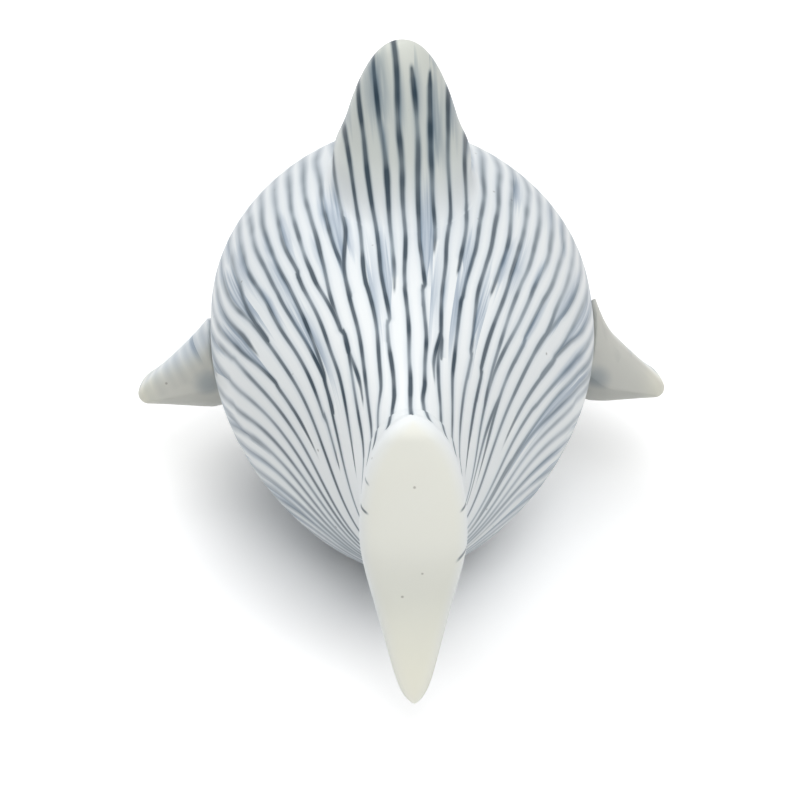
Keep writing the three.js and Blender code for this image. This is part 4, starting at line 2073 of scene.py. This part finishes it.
@dataclass(frozen=True)
class Studio:
    """Plain pale floor, soft light and the camera at the photograph's angle."""

    azimuth: float = -1.4
    elevation: float = 30.0
    distance: float = 480 * MM
    target: Triple = (-0.41 * MM, -8.3 * MM, 17.87 * MM)
    focal_pixels: float = 3048.0
    image_pixels: float = 800.0
    sensor: float = 36.0
    nearest: float = 10 * MM
    farthest: float = 100.0
    white: Colour = (1.0, 1.0, 1.0, 1.0)
    fill: float = 0.49
    lamps: tuple[Lamp, ...] = (
        Lamp("ceiling", level=0.15, azimuth=0.0, elevation=88.0, size=1.1),
        Lamp("head", level=0.31, azimuth=210.0, elevation=50.0),
        TailLamp("tail_top", level=0.27, azimuth=0.0, elevation=72.0),
        TailLamp("tail_right", level=0.17, azimuth=30.0, elevation=50.0),
    )
    floor_half: float = 4.0
    floor_white: float = 0.80
    floor_glow: float = 0.26
    glow_centre: Pair = (-9 * MM, -20 * MM)
    glow_squash: float = 0.8
    glow_from: float = 12 * MM
    glow_to: float = 36 * MM

    def towards(self, azimuth: float, elevation: float) -> Array:
        """Direction from the object to a place round it; azimuth 0 is behind the tail."""
        a, e = math.radians(azimuth), math.radians(elevation)
        return np.array([math.sin(a) * math.cos(e), -math.cos(a) * math.cos(e), math.sin(e)])

    def aim(self, thing: bpy.types.Object, place: Array, target: Array) -> None:
        """Puts a camera or lamp at a place and turns it to a target.

        Args:
            thing: the camera or lamp.
            place: where it goes.
            target: what it looks at.
        """
        thing.location = place.tolist()
        ahead = Vector((target - place).tolist())
        thing.rotation_euler = ahead.to_track_quat("-Z", "Y").to_euler()
        bpy.context.scene.collection.objects.link(thing)

    def seen(self, recipe: Recipe) -> Value:
        """What the camera sees, straight, mirrored or through glass.

        Args:
            recipe: the tree to read it in.

        Returns:
            1 where it is seen, else 0.
        """
        path = recipe.node("ShaderNodeLightPath", {}, {}).outputs
        kinds = ("Camera", "Glossy", "Transmission")
        camera, glossy, through = (Value(recipe, path[f"Is {kind} Ray"]) for kind in kinds)
        return camera.greatest(glossy).greatest(through)

    def floor_paint(self) -> bpy.types.Material:
        """Pale paint that shows white away from the object and keeps its shadow.

        Seen by the camera it is pure white, with a glow that grows with the distance from a centre
        under the object, on ovals; for all other light it is a little darker.

        Returns:
            The material.
        """
        material = bpy.data.materials.new("pale_floor")
        recipe = Recipe(material)
        x, y, _ = recipe.split(recipe.place())
        right, ahead = x - self.glow_centre[0], (y - self.glow_centre[1]) * self.glow_squash
        away = recipe.math("SQRT", right * right + ahead * ahead)
        pale = (self.floor_white,) * 3 + (1.0,)
        plain = recipe.node("ShaderNodeBsdfDiffuse", {}, {"Color": pale})
        bright = recipe.node("ShaderNodeBsdfDiffuse", {}, {"Color": self.white})
        glow = recipe.node("ShaderNodeEmission", {}, {"Strength": self.floor_glow})
        lit = recipe.node("ShaderNodeAddShader", {}, {0: bright.outputs[0], 1: glow.outputs[0]})
        shown = recipe.mix(away.eased(self.glow_from, self.glow_to), bright, lit)
        surface = recipe.mix(self.seen(recipe), plain, shown)
        recipe.node("ShaderNodeOutputMaterial", {}, {"Surface": surface.outputs[0]})
        return material

    def floor(self) -> None:
        """A wide level floor."""
        edge = self.floor_half
        mesh = bpy.data.meshes.new("floor")
        corners = [(-edge, -edge, 0), (edge, -edge, 0), (edge, edge, 0), (-edge, edge, 0)]
        mesh.from_pydata(corners, [], [(0, 1, 2, 3)])
        mesh.materials.append(self.floor_paint())
        piece = bpy.data.objects.new("floor", mesh)
        bpy.context.scene.collection.objects.link(piece)

    def world(self) -> None:
        """Even light from all round, and white where the camera sees past the floor."""
        world = bpy.data.worlds.new("studio")
        recipe = Recipe(world)
        light = recipe.node("ShaderNodeBackground", {}, {"Color": self.white, "Strength": self.fill})
        backdrop = recipe.node("ShaderNodeBackground", {}, {"Color": self.white, "Strength": 1.0})
        surface = recipe.mix(self.seen(recipe), light, backdrop)
        recipe.node("ShaderNodeOutputWorld", {}, {"Surface": surface.outputs[0]})
        bpy.context.scene.world = world

    def hang(self, lamp: Lamp) -> None:
        """Sets up one lamp; its power would give white paper far from it, facing it, the lamp's level.

        Args:
            lamp: the lamp.
        """
        target = np.array(lamp.target)
        light = bpy.data.lights.new(lamp.name, "AREA")
        light.shape = "SQUARE"
        light.size = lamp.size
        light.energy = lamp.level * (math.pi * lamp.distance) ** 2
        place = target + self.towards(lamp.azimuth, lamp.elevation) * lamp.distance
        self.aim(bpy.data.objects.new(lamp.name, light), place, target)

    def camera(self) -> None:
        """The photograph's view."""
        view = bpy.data.cameras.new("camera")
        view.sensor_width = self.sensor
        view.lens = self.sensor * self.focal_pixels / self.image_pixels
        view.clip_start = self.nearest
        view.clip_end = self.farthest
        target = np.array(self.target)
        thing = bpy.data.objects.new("camera", view)
        self.aim(thing, target + self.towards(self.azimuth, self.elevation) * self.distance, target)
        bpy.context.scene.camera = thing

    def build(self) -> None:
        """Sets up the floor, the light and the camera."""
        self.floor()
        self.world()
        for lamp in self.lamps:
            self.hang(lamp)
        self.camera()
        bpy.context.scene.view_settings.view_transform = "Standard"


def main() -> None:
    """Builds the pieces in order, dresses them and sets up the studio."""
    logging.basicConfig(level=logging.INFO, format="%(message)s")
    kiln = Kiln()
    lines = Lines()
    body = Body.from_frame(lines)
    painter = Painter(lines)
    glazes = {slot: Glaze(slot, painter).make(body) for slot in Slot}
    parts = [
        (body, Slot.PAINTED),
        (Dorsal.from_frame(body), Slot.PAINTED),
        (Tail.from_frame(body), Slot.CREAM),
        (Pectoral.from_frame(body, Side.LEFT), Slot.CREAM),
        (Pectoral.from_frame(body, Side.RIGHT), Slot.CREAM),
    ]
    for part, slot in parts:
        piece = part.build(kiln)
        piece.data.materials.append(glazes[slot])
        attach(piece, "root")
        LOG.info("%s: %d faces", piece.name, len(piece.data.polygons))
    Studio().build()


if __name__ == "__main__":
    main()
